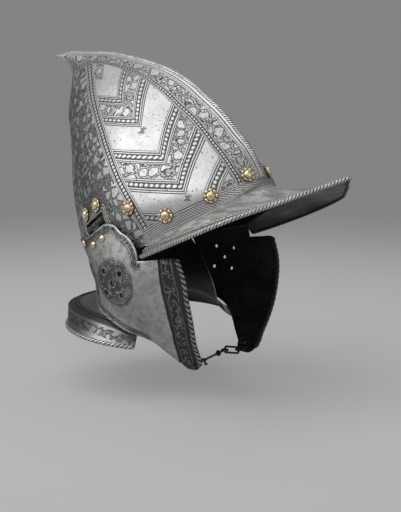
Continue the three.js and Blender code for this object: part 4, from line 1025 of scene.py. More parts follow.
# Skull: the side border's line, and places and half widths of the comb's band, by forward
SIDE_BORDER = np.array([
    (-112, 134), (-96, 116.6), (-63.4, 81.6), (-38, 55.3), (-12.6, 25.5), (8, 3.4), (21.6, -17.1), (27, -27)])
COMB_EDGE = np.array([
    (-130, 12.5), (-90, 13.6), (-61, 15.1), (-37, 16.8), (-8, 19.7), (11, 20.5), (48, 21.4), (66, 22.8),
    (85, 24.6), (100, 26)])
CREST_LINE = 4.6
# Chevron points: forward and height of the vertex, and how far back its upper leg leans per millimetre up
CHEVRONS = np.array([
    (-120, 140, 0.8), (-48.8, 103.5, 0.586), (-7.3, 76.2, 0.41), (17.6, 55.1, 0.26), (56.3, 17.2, 0.14),
    (110, -40, 0.05)])
# Small crosses at the points of two chevrons: forward and height
CHEVRON_FINIALS = ((-4.6, 73.0), (58.4, 13.6))
# Upper edge of the hatched band over the brim: forward and height
CREASE_BORDER = np.array([
    (20, -19.5), (26, -15.4), (49.2, -0.3), (70.1, 12.3), (85.1, 20.8), (97.6, 29.8), (104, 33)])
CREASE_LEAN = 0.6
RIDGE_STEPS = 60
RIDGE_RUN_ON = 20
FAR = 30
HALVINGS = 40
EDGE_SEARCH_TOP = 0.6
VERTEX_ROUNDS = 12
VERTEX_STEP = 0.6
SLOT_MARGIN = 6
SLOT_REACH = 40
SLOT_WALL_RUN = 3
SLOT_WALL_STEPS = 12
SLOT_LIP = 0.5
SLOT_LIP_ALONG = 1.06
SLOT_LIP_ACROSS = 1.12
ROPE_PITCH = 3.6
BRIM_ROPE_DEPTH = 0.26
BRIM_CROWDING = 0.75
INNER_ROPE_LEAST_SHARE = 0.4
INNER_ROPE_RISE_SHARE = 0.6
COMB_ROPE_END = 0.985
COMB_ROPE_STEPS = 200


def skull_grid(side):
    """Meridians of one side, from the lower edge to the stalk's tip."""
    turns = np.linspace(0, math.pi, SKULL_TURNS + 1)
    low = np.full(len(turns), SKULL_SHARES[0, 0])
    high = np.full(len(turns), EDGE_SEARCH_TOP)
    for _ in range(HALVINGS):
        middle = (low + high) / 2
        _, forward, up = skull_surface(middle, turns, side)
        under = up < lower_edge(forward)
        low = np.where(under, middle, low)
        high = np.where(under, high, middle)
    rise = 1 - (1 - np.linspace(0, 1, SKULL_LEVELS + 1)) ** TOP_CROWDING
    share = mix(high[None], 1, rise[:, None])
    return np.stack(skull_surface(share, turns[None], side), -1)


def skull_fields(piece):
    """Fields that place the skull's ornament."""
    side, forward, up = to_drafting(points_of(piece))
    edge = np.interp(forward, *COMB_EDGE.T)
    ridge = np.stack(skull_surface(np.linspace(0, 1, RIDGE_STEPS), 0.0, 1)[1:], -1)
    before = ridge[:1] + (ridge[:1] - ridge[1:2]) * RIDGE_RUN_ON
    beyond = ridge[-1:] + (ridge[-1:] - ridge[-2:-1]) * RIDGE_RUN_ON
    _, comb_run = nearest_on(np.concatenate([before, ridge, beyond]), forward, up)
    gap, side_run = nearest_on(SIDE_BORDER, forward, up)
    order = np.argsort(CHEVRONS[:, 1])
    vertex = forward.copy()
    for _ in range(VERTEX_ROUNDS):
        height, lean = [np.interp(vertex, CHEVRONS[:, 0], CHEVRONS[:, column]) for column in (1, 2)]
        vertex = mix(vertex, forward + lean * (up - height), VERTEX_STEP)
    low = np.where(forward > BRIM_REAR, crease_height(np.clip(forward, BRIM_REAR, FOOT_FRONT)), BRIM_REAR_HEIGHT)
    high = np.interp(forward, *CREASE_BORDER.T)
    along, across = hinge_local(forward, up)
    slot = np.maximum(np.abs(along) - HINGE_LENGTH / 2, -across - HINGE_SLOT / 2)
    set_fields(
        piece, forward=forward, up=up, comb=(np.abs(side) - CREST_LINE) / (edge - CREST_LINE), comb_run=comb_run,
        side=np.where(up > np.interp(forward, *SIDE_BORDER.T), gap, -gap), side_run=side_run,
        chevron_lower=np.interp(up, CHEVRONS[order, 1], CHEVRONS[order, 0]), chevron_upper=vertex,
        crease=np.clip((up - low) / (high - low), -2, 3), crease_run=forward + (up - low) * CREASE_LEAN,
        slot=np.where(across > HINGE_SLOT * 2, FAR, np.maximum(slot, -1)))


def open_slot(piece, side):
    """Cuts the hinge slot, open from below, through both skins of one side."""
    work = bmesh.new()
    work.from_mesh(piece.data)
    along = HINGE_LENGTH / 2 + SEAT_GAP
    across = HINGE_SLOT / 2

    def inside(face, margin, reach):
        centre = face.calc_center_median()
        _, forward, up = to_drafting(np.array(centre))
        a, b = hinge_local(forward, up)
        return centre.x * side > 0 and abs(a) < along + margin and -across - margin < b < across + reach

    cuts = (((-along, 0), (1 - along, 0)), ((along, 0), (1 + along, 0)), ((0, -across), (0, 1 - across)))
    for place, ahead in cuts:
        start, end = to_metres(0, *hinge_place(*place)), to_metres(0, *hinge_place(*ahead))
        found = [face for face in work.faces if inside(face, SLOT_MARGIN, SLOT_REACH)]
        edges = [edge for face in found for edge in face.edges]
        corners = [corner for face in found for corner in face.verts]
        geometry = list({*found, *edges, *corners})
        bmesh.ops.bisect_plane(work, geom=geometry, plane_co=start, plane_no=Vector(end - start), dist=1e-7)
    gone = [face for face in work.faces if inside(face, 0, SLOT_REACH)]
    bmesh.ops.delete(work, geom=gone, context="FACES")
    work.to_mesh(piece.data)
    work.free()


def build_slot_wall(name, side):
    """Edge of the plate round the hinge slot, with its raised lip."""
    along, across = HINGE_LENGTH / 2 + SEAT_GAP, HINGE_SLOT / 2
    run_on = across + SLOT_WALL_RUN
    corners = [(-along, run_on), (-along, -across), (along, -across), (along, run_on)]
    away = [hinge_place(a * SLOT_LIP_ALONG, b * SLOT_LIP_ACROSS - 0.1) for a, b in corners]

    def even_line(points):
        points = np.array(points)
        stretches = [np.linspace(a, b, SLOT_WALL_STEPS, endpoint=False) for a, b in zip(points, points[1:])]
        return np.concatenate([*stretches, points[-1:]]).T

    forward, up = even_line([hinge_place(*corner) for corner in corners])
    outer = even_line(away)
    half, outer_half = skull_half(forward, up), skull_half(*outer)
    lean = np.abs(outward(skull_half, forward, up, side)[:, 0])
    rows = [to_metres(side * (half - PLATE / lean), forward, up), to_metres(side * (half + SLOT_LIP), forward, up)]
    rows += [to_metres(side * (outer_half + lip), *outer) for lip in (SLOT_LIP, -SLOT_LIP)]
    wall = new_piece(name, np.stack(rows, 0), grid_faces(4, len(forward)), [finish_of("rope")], smooth=False)
    set_fields(wall, ridge=np.full(len(wall.data.vertices), 0.7))
    return wall


def build_skull():
    ring = np.concatenate([skull_grid(-1), skull_grid(1)[:, -2:0:-1]], 1)
    outside = to_metres(*np.moveaxis(ring, -1, 0))
    normals = grid_normals(outside, wrap=True)
    out = np.sign(np.einsum("ijk,ijk->ij", normals, outside - outside.mean((0, 1)))).mean()
    inside = outside - normals * np.sign(out) * PLATE * MM
    crossed = np.sign(inside[..., 0]) != np.sign(outside[..., 0])
    inside[..., 0] = np.where(crossed, 0, inside[..., 0])
    piece = shell("skull_plate", outside, inside, [finish_of("skull"), finish_of("inside")], wrap=True)
    for _, side in SIDES:
        open_slot(piece, side)
    skull_fields(piece)
    return piece


def brim_grid(side):
    """One half of the brim's top, from its root at the skull to its edge."""
    t = np.linspace(0, 1, BRIM_STEPS + 1)
    forward = mix(BRIM_REAR, FOOT_FRONT, t ** BRIM_CROWDING)
    root_up = crease_height(forward)
    root = np.stack([np.maximum(skull_half(forward, root_up) - PLATE / 2, 0), forward - PLATE / 2, root_up], -1)
    edge = np.stack([
        BRIM_CURVE(t) * BRIM_HALF_WIDTH, mix(BRIM_CORNER[0], BRIM_TIP[0], t),
        mix(BRIM_CORNER[1], BRIM_TIP[1], t) - 4 * BRIM_BOW * t * (1 - t)], -1)
    share = np.linspace(0, 1, BRIM_RUNS + 1)[None, :, None]
    grid = mix(root[:, None], edge[:, None], share)
    late = np.clip((t - BRIM_SAG_START_SHARE) / (1 - BRIM_SAG_START_SHARE), 0, 1)
    bulge = np.minimum(1, 2 * t) * mix(BRIM_CAMBER, -BRIM_SAG, late * late * (3 - 2 * late))
    grid[..., 2] += 4 * share[..., 0] * (1 - share[..., 0]) * bulge[:, None]
    grid[..., 0] *= side
    return grid


def whole_brim():
    return np.concatenate([brim_grid(-1), brim_grid(1)[-2::-1]], 0)


def build_brim():
    grid = whole_brim()
    top = to_metres(*np.moveaxis(grid, -1, 0))
    piece = shell("brim_plate", top, top - UP * PLATE * MM, [finish_of("brim"), finish_of("under")])
    edge = grid[:, -1]
    away = np.linalg.norm(grid - edge[:, None], axis=-1)
    run = np.repeat(arc_length(edge)[:, None], grid.shape[1], 1)
    set_fields(piece, edge=[away, away], run=[run, run])
    return piece


def build_brim_rope():
    edge = whole_brim()[:, -1] - UP * PLATE / 2

    # The side that faces the light, for the rope's painted shade
    def face(path):
        return unit(np.sign(path[:, :1]) * (0.85, 0, 0) + (0, -0.25, 0.5))

    return rope("brim_rope", to_metres(*edge.T), ROLL_RADIUS, ROPE_PITCH, BRIM_ROPE_DEPTH, face=face)


def build_inner_rope():
    """Thin roped line on the brim, just inside its edge."""
    grid = whole_brim()
    width = np.linalg.norm(grid[:, 0] - grid[:, -1], axis=1)
    place = (1 - np.minimum(INNER_ROPE_INSET / width, INNER_ROPE_LEAST_SHARE)) * BRIM_RUNS
    rows = np.arange(BRIM_RUNS + 1)
    path = np.array([[np.interp(p, rows, row[:, k]) for k in range(3)] for p, row in zip(place, grid)])
    path += UP * INNER_ROPE_RADIUS * INNER_ROPE_RISE_SHARE
    return rope("brim_inner_rope", to_metres(*path.T), INNER_ROPE_RADIUS, ROPE_PITCH, BRIM_ROPE_DEPTH, hand=-1)


def build_comb_rope():
    _, forward, up = skull_surface(np.linspace(0, COMB_ROPE_END, COMB_ROPE_STEPS), 0.0, 1)
    path = to_metres(0, forward - RIDGE_ROLL / 2, up - RIDGE_ROLL / 2)
    return rope("comb_rope", path, RIDGE_ROLL, 2.7, 0.16)


# Cheekpieces
CURVE_STEPS = 10
HEARING_HOLES = [(HEARING_PLACE[0] + a * HEARING_PITCH, HEARING_PLACE[1] + b * HEARING_PITCH)
                 for a, b in ((0, 0), (-1, 1), (1, 1), (-1, -1), (1, -1))]
HEARING_SIDES = 20
# Front band: its groove and its roped edge's inner line, by height
GROOVE = np.array([(-155, 33), (-147.2, 36.5), (-116.7, 43), (-88.3, 43.3), (-42.4, 37.9), (-20, 35)])
ROPE_INNER = np.array([(-158, 52), (-144.2, 55.4), (-106.4, 60.6), (-73.6, 59.6), (-41, 51.5), (-20, 46)])
# Height of the band's ridge and of its hollow, with their places and widths in shares of the band
BAND_RELIEF = ((0.7, 0.03, 0.05), (-0.7, 0.17, 0.09))
ORNAMENT_PLACE = (-11.6, -71.5)
FAN_START = math.radians(-105)
FAN_END = math.radians(35)
LOBE_END = 22
NAPE_BORDER_POINTS = 42


def cheek_line(shares, start):
    return spline([start, *in_reach(shares)], CURVE_STEPS)


def cheek_parts():
    """Outline of a cheekpiece in side view, as named stretches."""
    rear = in_reach(NAPE_SHARES[-1:])[0]
    hinge = [hinge_place(-HINGE_LENGTH / 2 - SEAT_GAP, HINGE_SLOT / 2), hinge_place(HINGE_LENGTH / 2, HINGE_SLOT / 2)]
    lobe = cheek_line(LOBE_SHARES, hinge[1])
    brow = cheek_line(BROW_SHARES, lobe[-1])
    front = cheek_line([*CHEEK_FRONT_SHARES, *CHIN_SHARES], brow[-1])
    jaw = cheek_line(JAW_SHARES, front[-1])
    nape = cheek_line(NAPE_SHARES, JAW_CORNER)
    return dict(hinge=np.array([rear, *hinge]), lobe=lobe, brow=brow, front=front, jaw=jaw, nape=nape)


def cheek_outline():
    parts = cheek_parts()
    return np.concatenate([part if name == "jaw" else part[:-1] for name, part in parts.items()])


def band_share(forward, up):
    groove, rope_line = np.interp(up, *GROOVE.T), np.interp(up, *ROPE_INNER.T)
    return (forward - groove) / (rope_line - groove)


def cheek_mesh():
    """Points and triangles of a cheekpiece in side view, with its hearing holes open."""
    turns = turn_angles(HEARING_SIDES)
    circle = HEARING_RADIUS * np.stack([np.cos(turns), np.sin(turns)], -1)
    outline = cheek_outline()
    rings = [outline, *[circle + hole for hole in HEARING_HOLES]]
    low, high = outline.min(0), outline.max(0)
    steps = [np.arange(low[k], high[k], CHEEK_MESH) for k in range(2)]
    inner = np.stack(np.meshgrid(*steps, indexing="ij"), -1).reshape(-1, 2)
    for ring in rings:
        gap, _ = nearest_on(np.concatenate([ring, ring[:1]]), *inner.T)
        inner = inner[gap > CHEEK_MESH * 0.45]
    edges, start = [], 0
    for ring in rings:
        edges += [(start + i, start + (i + 1) % len(ring)) for i in range(len(ring))]
        start += len(ring)
    points = [Vector(point) for point in np.concatenate([*rings, inner])]
    found = delaunay_2d_cdt(points, edges, [], 2, 1e-5)
    flat, triangles = np.array([tuple(point) for point in found[0]]), np.array(found[2])
    centres = flat[triangles].mean(1)
    gaps = [np.hypot(*(centres - hole).T) for hole in HEARING_HOLES]
    return flat, triangles[np.min(gaps, axis=0) > HEARING_RADIUS * 0.97]


def build_cheek(name, side):
    flat, triangles = cheek_mesh()
    forward, up = flat.T
    normal = outward(cheek_half, forward, up, side)
    middle = to_metres(side * cheek_half(forward, up), forward, up)
    share = band_share(forward, up)
    relief = sum(height * np.exp(-((share - place) / width) ** 2) for height, place, width in BAND_RELIEF)
    points = np.concatenate([middle + normal * (relief * MM)[:, None], middle - normal * PLATE * MM])
    count = len(flat)
    pairs = dict.fromkeys(edge for a, b, c in triangles for edge in ((a, b), (b, c), (c, a)))
    rim = [[b, a, a + count, b + count] for a, b in pairs if (b, a) not in pairs]
    faces = [*triangles, *(triangles[:, ::-1] + count), *rim]
    kinds = np.concatenate([np.zeros(len(triangles)), np.ones(len(triangles) + len(rim))])
    piece = new_piece(name, points, faces, [finish_of("cheek"), finish_of("inside")], kinds)
    turn_outward(piece)
    cheek_fields(piece)
    return piece


def cheek_fields(piece):
    """Fields that place the cheekpiece's ornament."""
    _, forward, up = to_drafting(points_of(piece))
    parts = cheek_parts()
    lobe, _ = nearest_on(np.concatenate([parts["hinge"][1:2], parts["lobe"]]), forward, up)
    rear, _ = nearest_on(parts["nape"][:NAPE_BORDER_POINTS], forward, up)
    ahead, above = forward - ORNAMENT_PLACE[0], up - ORNAMENT_PLACE[1]
    turn = np.arctan2(above, ahead)
    set_fields(
        piece, forward=forward, up=up, lobe=np.where(forward > LOBE_END, FAR, lobe), rear=rear,
        ring=np.hypot(ahead, above), ring_turn=np.abs(turn + FAN_END) % math.pi,
        gadroon=(turn < FAN_END) & (turn > FAN_START),
        hole=np.min([np.hypot(forward - a, up - b) for a, b in HEARING_HOLES], axis=0),
        band=np.clip(band_share(forward, up), -1, 2))


def build_cheek_rope(name, side):
    forward, up = spline(in_reach([BROW_SHARES[-1], *CHEEK_FRONT_SHARES, CHIN_SHARES[0]]), 12).T
    path = to_metres(side * cheek_half(forward, up), forward, up)
    path = path - outward(cheek_half, forward, up, side) * (PLATE / 2 * MM)
    # The side that faces the light, for the rope's painted shade
    return rope(name, path, ROLL_RADIUS * 1.12, 5.6, 0.3, "dark_rope", strands=2, hand=-side,
                face=lambda points: np.array([side, 0.0, 0.0]))


# Neck guard
def guard_ring(ring, turn_share, side):
    turn = math.radians(ring["swing"]) * turn_share
    up = mix(ring["rear_height"], ring["front_height"], turn_share ** ring["late"])
    reach = ring["rear"] if math.cos(turn) > 0 else ring["front"]
    return np.array([side * ring["half"] * math.sin(turn), ring["centre"] - reach * math.cos(turn), up])


def centripetal(points, shares):
    """Curve through points whose steps follow the root of their spacing, at shares of its stretches."""
    last = len(points) - 1
    out = []
    for share in shares:
        i = min(int(share * last), last - 1)
        b, c = points[i], points[i + 1]
        a = points[i - 1] if i > 0 else 2 * b - c
        d = points[i + 2] if i + 2 <= last else 2 * c - b
        before, step, after = [max(np.linalg.norm(q - p), 1e-4) ** 0.5 for p, q in ((a, b), (b, c), (c, d))]
        start = ((b - a) / before - (c - a) / (before + step) + (c - b) / step) * step
        end = ((c - b) / step - (d - b) / (step + after) + (d - c) / after) * step
        out.append(hermite(b, c, start, end, share * last - i))
    return np.array(out)


def guard_column(turn_share, side):
    """One fall line of the neck guard, from its top edge over the crease to the rim."""
    seams = []
    for share, front_turn in ((GUARD_TOP_SHARE, GUARD_TOP_TURN), (GUARD_SEAM_SHARE, GUARD_SEAM_TURN)):
        turn = mix(math.pi, front_turn, turn_share)
        seams.append(np.array(skull_surface(share, turn, side, GUARD_PLATE + 2 * SEAT_GAP)))
    waist, crease, rim = [guard_ring(ring, turn_share, side) for ring in (WAIST, CREASE, RIM)]
    sag = mix(waist, crease, SAG_OUT_SHARE)
    sag[2] = mix(waist[2], crease[2], SAG_DOWN_SHARE)
    column = centripetal([*seams, waist, sag, crease], np.linspace(0, 1, GUARD_FALL_STEPS + 1))
    return np.concatenate([column, np.linspace(crease, rim, GUARD_BAND_STEPS + 1)[1:]])


def guard_grid():
    shares = np.linspace(-1, 1, GUARD_TURNS + 1)
    return np.array([guard_column(abs(share), -1 if share < 0 else 1) for share in shares])


def build_guard():
    grid = guard_grid()
    outside = to_metres(*np.moveaxis(grid, -1, 0))
    normals = grid_normals(outside)
    centre = to_metres(0, WAIST["centre"], WAIST["rear_height"])
    facing = np.sign(np.einsum("ijk,ijk->ij", normals, outside - centre))
    inside = outside - normals * facing[..., None] * GUARD_PLATE * MM
    piece = shell("neck_guard_plate", outside, inside, [finish_of("guard"), finish_of("inside")])
    falls = np.array([arc_length(column) for column in grid])
    falls = falls - falls[:, GUARD_FALL_STEPS:GUARD_FALL_STEPS + 1]
    set_fields(piece, fall=[falls, falls], forward=[grid[..., 1], grid[..., 1]])
    return piece


def build_guard_rope():
    centre = to_metres(0, RIM["centre"], 0)

    # The side that faces the light, for the rope's painted shade
    def face(path):
        return unit((path - centre) * LEVEL + UP * 10 * MM)

    return rope("neck_guard_rope", to_metres(*guard_grid()[:, -1].T), ROLL_RADIUS, 4.2, 0.24, face=face)


# Rivets
CLENCH = 1
PETAL_SIDES = 14
DOME_SIDES = 40
DISC_SIDES = 48
BOSS_SHARE = 0.6
# Half sections of the chin disc and of the eye's rivet head: height and radius, in shares
DISC_PROFILE = ((1, 0.0125), (1, 0.86), (0.7, 0.97), (0, 1), (-0.7, 0.97), (-1, 0.86), (-0.9, 0.6), (-1, 0.0125))
HEAD_PROFILE = ((1, 0.036), (1, 0.7), (0, 1), (-1, 1), (-1, 0.036))


def rivet_frame(node, height):
    """Where a rivet's head stands on its plate and which way it faces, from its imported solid."""
    points = points_of(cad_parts[node])
    centre = points.mean(0)
    values, vectors = np.linalg.eigh(np.cov((points - centre).T))
    axis = vectors[:, 0] if values[1] - values[0] > values[2] - values[1] else vectors[:, 2]
    along = (points - centre) @ axis
    away = np.linalg.norm(points - centre - along[:, None] * axis, axis=1)
    if along[away > away.max() * 0.9].mean() < 0:
        axis, along = -axis, -along
    base = along.max() - height * MM
    return centre + axis * base, axis, (along.min() - base) / MM


def turned(name, rings, origin, axis, material, sides):
    """Piece turned about an axis from rings of height, radius and how hollow it is there."""
    x = Vector(axis).orthogonal().normalized()
    y = Vector(axis).cross(x)
    turns = turn_angles(sides)
    circle = np.cos(turns)[:, None] * np.array(x) + np.sin(turns)[:, None] * np.array(y)
    heights, radii, deep = [np.array([np.broadcast_to(value, sides) for value in part]) for part in zip(*rings)]
    points = origin + (circle * radii[..., None] + heights[..., None] * np.array(axis)) * MM
    piece = new_piece(name, points, capped_faces(len(rings), sides), [material])
    set_fields(piece, deep=np.clip(deep, 0, 1))
    turn_outward(piece)
    return piece


def tail_rings(depth):
    """Shank and clenched tail of a rivet."""
    return [(0, SHANK_RADIUS, 0.6), (depth + CLENCH, SHANK_RADIUS, 0.6), (depth + CLENCH, CLENCH_RADIUS, 0.4),
            (depth + 0.3, CLENCH_RADIUS, 0.2), (depth, CLENCH_RADIUS * 0.7, 0.2), (depth, 0.05, 0.2)]


def build_rosette(node, body):
    """Rosette: a high boss in a ring of rounded petals."""
    origin, axis, depth = rivet_frame(node, ROSETTE_HEIGHT)
    sides = PETALS * PETAL_SIDES
    petal = np.abs(np.cos(PETALS * turn_angles(sides) / 2)) ** 0.55
    boss = ROSETTE_RADIUS * BOSS_SHARE
    rings = [(ROSETTE_HEIGHT * (0.42 + 0.58 * math.cos(turn)), boss * math.sin(turn), 0)
             for turn in np.linspace(0.02, 1, 9) * math.pi / 2]
    rings.append((ROSETTE_HEIGHT * 0.27, boss * 1.02, 0.85))
    for share in np.linspace(0, 1, 11)[1:]:
        radius = mix(boss * 1.02, ROSETTE_RADIUS * (0.97 + 0.09 * petal), share)
        dome = math.sin(math.pi * min(share * 0.93 + 0.07, 1)) ** 0.6
        height = ROSETTE_HEIGHT * (0.07 + 0.38 * dome * (0.18 + 0.82 * petal))
        hollow = np.clip(1.05 - petal * 1.25, 0, 1) + (0 if 0.15 <= share <= 0.85 else 0.8)
        rings.append((height * (1 if share < 1 else 0.3), radius, hollow))
    rings.append((0, ROSETTE_RADIUS * (0.94 + 0.09 * petal), 0.7))
    piece = turned(f"{node}_gilt", rings + tail_rings(depth), origin, axis, finish_of("gilt"), sides)
    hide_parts(node)
    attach(piece, body)


def build_dome(node, body, kind="gilt"):
    """Plain domed rivet."""
    origin, axis, depth = rivet_frame(node, DOME_HEIGHT)
    rings = [(DOME_HEIGHT * math.cos(t), DOME_RADIUS * math.sin(t), 0)
             for t in np.linspace(0.02, math.pi / 2 * 0.98, 12)]
    rings += [(0, DOME_RADIUS * 0.97, 0.7), *tail_rings(depth)]
    piece = turned(f"{node}_head", rings, origin, axis, finish_of(kind), DOME_SIDES)
    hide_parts(node)
    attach(piece, body)


# Chin fastening
RING_STEPS = 64


def seat(place, side):
    """Where a fitting stands on a cheekpiece, and the way out of the plate there."""
    forward, up = place
    return to_metres(side * cheek_half(forward, up), forward, up), outward(cheek_half, forward, up, side)


def chain_places():
    """Pivots and directions of the chain, from the disc in the left cheek to the eye in the right."""
    eye_origin, eye_out = seat(EYE_PLACE, -1)
    disc_origin, disc_out = seat(DISC_PLACE, 1)
    disc_centre = disc_origin - disc_out * (PLATE + 3 * SEAT_GAP + DISC / 2) * MM
    down = unit(disc_out * disc_out[2] - UP)
    staple = disc_centre + down * STAPLE_DROP * MM - disc_out * STAPLE_REACH * MM
    eye = eye_origin - eye_out * EYE_REACH * MM + np.array([0, -EYE_FORWARD * MM, 0])
    along = unit((eye - staple) * LEVEL)
    across = np.cross(UP, along)
    pivot = staple + along * CHAIN_RING * MM
    run = np.array(Matrix.Rotation(-LINK_SLOPE, 3, Vector(across)) @ Vector(along))
    return dict(eye_origin=eye_origin, eye_out=eye_out, disc_centre=disc_centre, disc_out=disc_out, staple=staple,
                eye=eye, along=along, across=across, pivot=pivot, run=run, hook=pivot + run * LINK_LENGTH * MM)


def ring_wire(name, centre, x, y, material, radius=CHAIN_RING, stretch=0):
    """Closed ring of wire, drawn out along x where it is stretched."""
    turns = turn_angles(RING_STEPS)
    path_x = np.cos(turns) * radius + np.where(np.cos(turns) > 0, stretch, 0)
    path = centre + (path_x[:, None] * x + (np.sin(turns) * radius)[:, None] * y) * MM
    tangent = unit(np.roll(path, -1, 0) - np.roll(path, 1, 0))
    z = np.cross(x, y)
    rings = rings_about(np.cross(tangent, z), np.broadcast_to(z, path.shape), turn_angles(WIRE_SIDES))
    count = RING_STEPS * WIRE_SIDES
    points = path[:, None] + rings * WIRE * MM
    piece = new_piece(name, points, grid_faces(RING_STEPS + 1, WIRE_SIDES, wrap=True) % count, [material])
    turn_outward(piece)
    return piece


def build_chain():
    """Chin disc with its staple, link, hook and eye."""
    c = chain_places()
    iron = finish_of("iron")

    def round_plate(name, profile, half, radius, centre, out):
        rings = [(height * half, share * radius, 0) for height, share in profile]
        return turned(name, rings, centre, out, iron, DISC_SIDES)

    def along(distance_on, height=0.0):
        return c["hook"] + (c["along"] * distance_on + UP * height) * MM

    disc = round_plate("disc", DISC_PROFILE, DISC / 2, DISC_RADIUS, c["disc_centre"], c["disc_out"])
    left = join("left_chin_disc_iron", [disc, ring_wire("staple", c["staple"], c["along"], c["across"], iron)])
    link_across = np.cross(c["across"], c["run"])
    link = ring_wire("chin_link_iron", c["pivot"], c["run"], link_across, iron, stretch=LINK_LENGTH)
    bend = (c["eye"] - c["hook"]) @ c["along"] / MM - CHAIN_RING - 2 * WIRE - HOOK_SLACK - HOOK_RADIUS
    curl = [along(bend + HOOK_RADIUS * math.cos(math.pi * t), HOOK_RADIUS * (math.sin(math.pi * t) - 1))
            for t in (1 / 2, 1 / 4, 0, -1 / 4, -1 / 2, -3 / 4)]
    line = [along(2 * CHAIN_RING), along(mix(2 * CHAIN_RING, bend, 0.5)), *curl]
    shank = tube("shank", spline(line, CURVE_STEPS), WIRE * MM, iron)
    end = ring_wire("end", along(CHAIN_RING), c["along"], c["across"], iron)
    collar = ring_wire("collar", along(COLLAR_PLACE), c["across"], UP, iron, radius=COLLAR_RADIUS)
    hook = join("chin_hook_iron", [shank, end, collar])
    origin, out = c["eye_origin"], c["eye_out"]
    head_centre = origin + out * (SEAT_GAP + HEAD / 2) * MM
    inner = origin - out * EYE_REACH / 2 * MM
    rim = c["eye"] + unit((inner - c["eye"]) * LEVEL) * CHAIN_RING * MM
    shaft = tube("shaft", spline([head_centre, inner, rim], CURVE_STEPS), EYE_SHANK * MM, iron)
    head = round_plate("head", HEAD_PROFILE, HEAD / 2, CLENCH_RADIUS, head_centre, out)
    eye = join("right_chin_eye_iron", [shaft, head, ring_wire("ring", c["eye"], c["along"], c["across"], iron)])
    for piece, node, body in ((left, "left_chin_disc", "left_cheek"), (link, "chin_link", "link"),
                              (hook, "chin_hook", "hook"), (eye, "right_chin_eye", "right_cheek")):
        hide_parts(node)
        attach(piece, body)


# Stage
# Lights: how far to the camera, to its right and up in metres, and the lamp's size
LIGHTS = {
    "key": (0.9, -0.6, 1.25, 2.2), "fill": (0.9, 0.9, 0.25, 0.9), "side": (0.45, -1.05, 0.4, 0.9),
    "rim": (-0.3, 0.3, 1.1, 0.6),
}
AIM = Vector((0, 0, -0.05))
FLOOR_REACH = 12
FLOOR_COLOUR = (0.48, 0.48, 0.48)
# Distances over which the floor turns into the backdrop, and over which its colour deepens
FADE = {"From Min": 0.25, "From Max": 1.1, "To Min": 0.45, "To Max": 1.0}
DEEPEN = {"From Min": 0.1, "From Max": 1.4}


def area_light(name, place, size, power):
    data = bpy.data.lights.new(name, "AREA")
    data.shape = "DISK"
    data.size = size
    data.energy = power
    light = bpy.data.objects.new(name, data)
    light.location = place
    light.rotation_euler = (AIM - place).to_track_quat("-Z", "Y").to_euler()
    bpy.context.scene.collection.objects.link(light)


def camera_axes():
    """Directions to the camera, to its right and up."""
    level = math.cos(CAMERA_ELEVATION)
    to_camera = Vector((-math.sin(CAMERA_AZIMUTH) * level, -math.cos(CAMERA_AZIMUTH) * level,
                        math.sin(CAMERA_ELEVATION)))
    right = Vector((math.cos(CAMERA_AZIMUTH), -math.sin(CAMERA_AZIMUTH), 0))
    return to_camera, right, to_camera.cross(right)


def build_camera():
    to_camera, right, up = camera_axes()
    start = Vector(to_metres(0, 0, 0).tolist())
    place = start + (to_camera * CAMERA_DISTANCE + right * CAMERA_AIM_RIGHT - up * CAMERA_AIM_DOWN) * MM
    data = bpy.data.cameras.new("camera")
    data.sensor_fit = "VERTICAL"
    data.sensor_height = SENSOR
    data.lens = CAMERA_LENS_PIXELS / FRAME_HEIGHT_PIXELS * SENSOR
    camera = bpy.data.objects.new("camera", data)
    camera.matrix_world = Matrix((right, up, to_camera)).transposed().to_4x4()
    camera.location = place
    bpy.context.scene.collection.objects.link(camera)
    bpy.context.scene.camera = camera


def seen_rays(tree):
    """One for the camera's rays and for mirrored and refracted ones, otherwise zero."""
    rays = add_node(tree, "ShaderNodeLightPath").outputs
    share = rays["Is Camera Ray"]
    for name in ("Is Glossy Ray", "Is Transmission Ray"):
        share = add_node(tree, "ShaderNodeMath", {0: share, 1: rays[name]}, operation="MAXIMUM").outputs[0]
    return share


def build_world(level, colour):
    """Even light, with the pale backdrop for the camera and for what the metal mirrors."""
    world = bpy.data.worlds.new("world")
    bpy.context.scene.world = world
    world.use_nodes = True
    tree = world.node_tree
    tree.nodes.clear()
    lamp = add_node(tree, "ShaderNodeBackground", {"Color": (1, 1, 1, 1), "Strength": level})
    seen = add_node(tree, "ShaderNodeBackground", {"Color": (*colour, 1)})
    choose = add_node(tree, "ShaderNodeMixShader", {"Fac": seen_rays(tree), 1: lamp.outputs[0], 2: seen.outputs[0]})
    add_node(tree, "ShaderNodeOutputWorld", {"Surface": choose.outputs[0]})


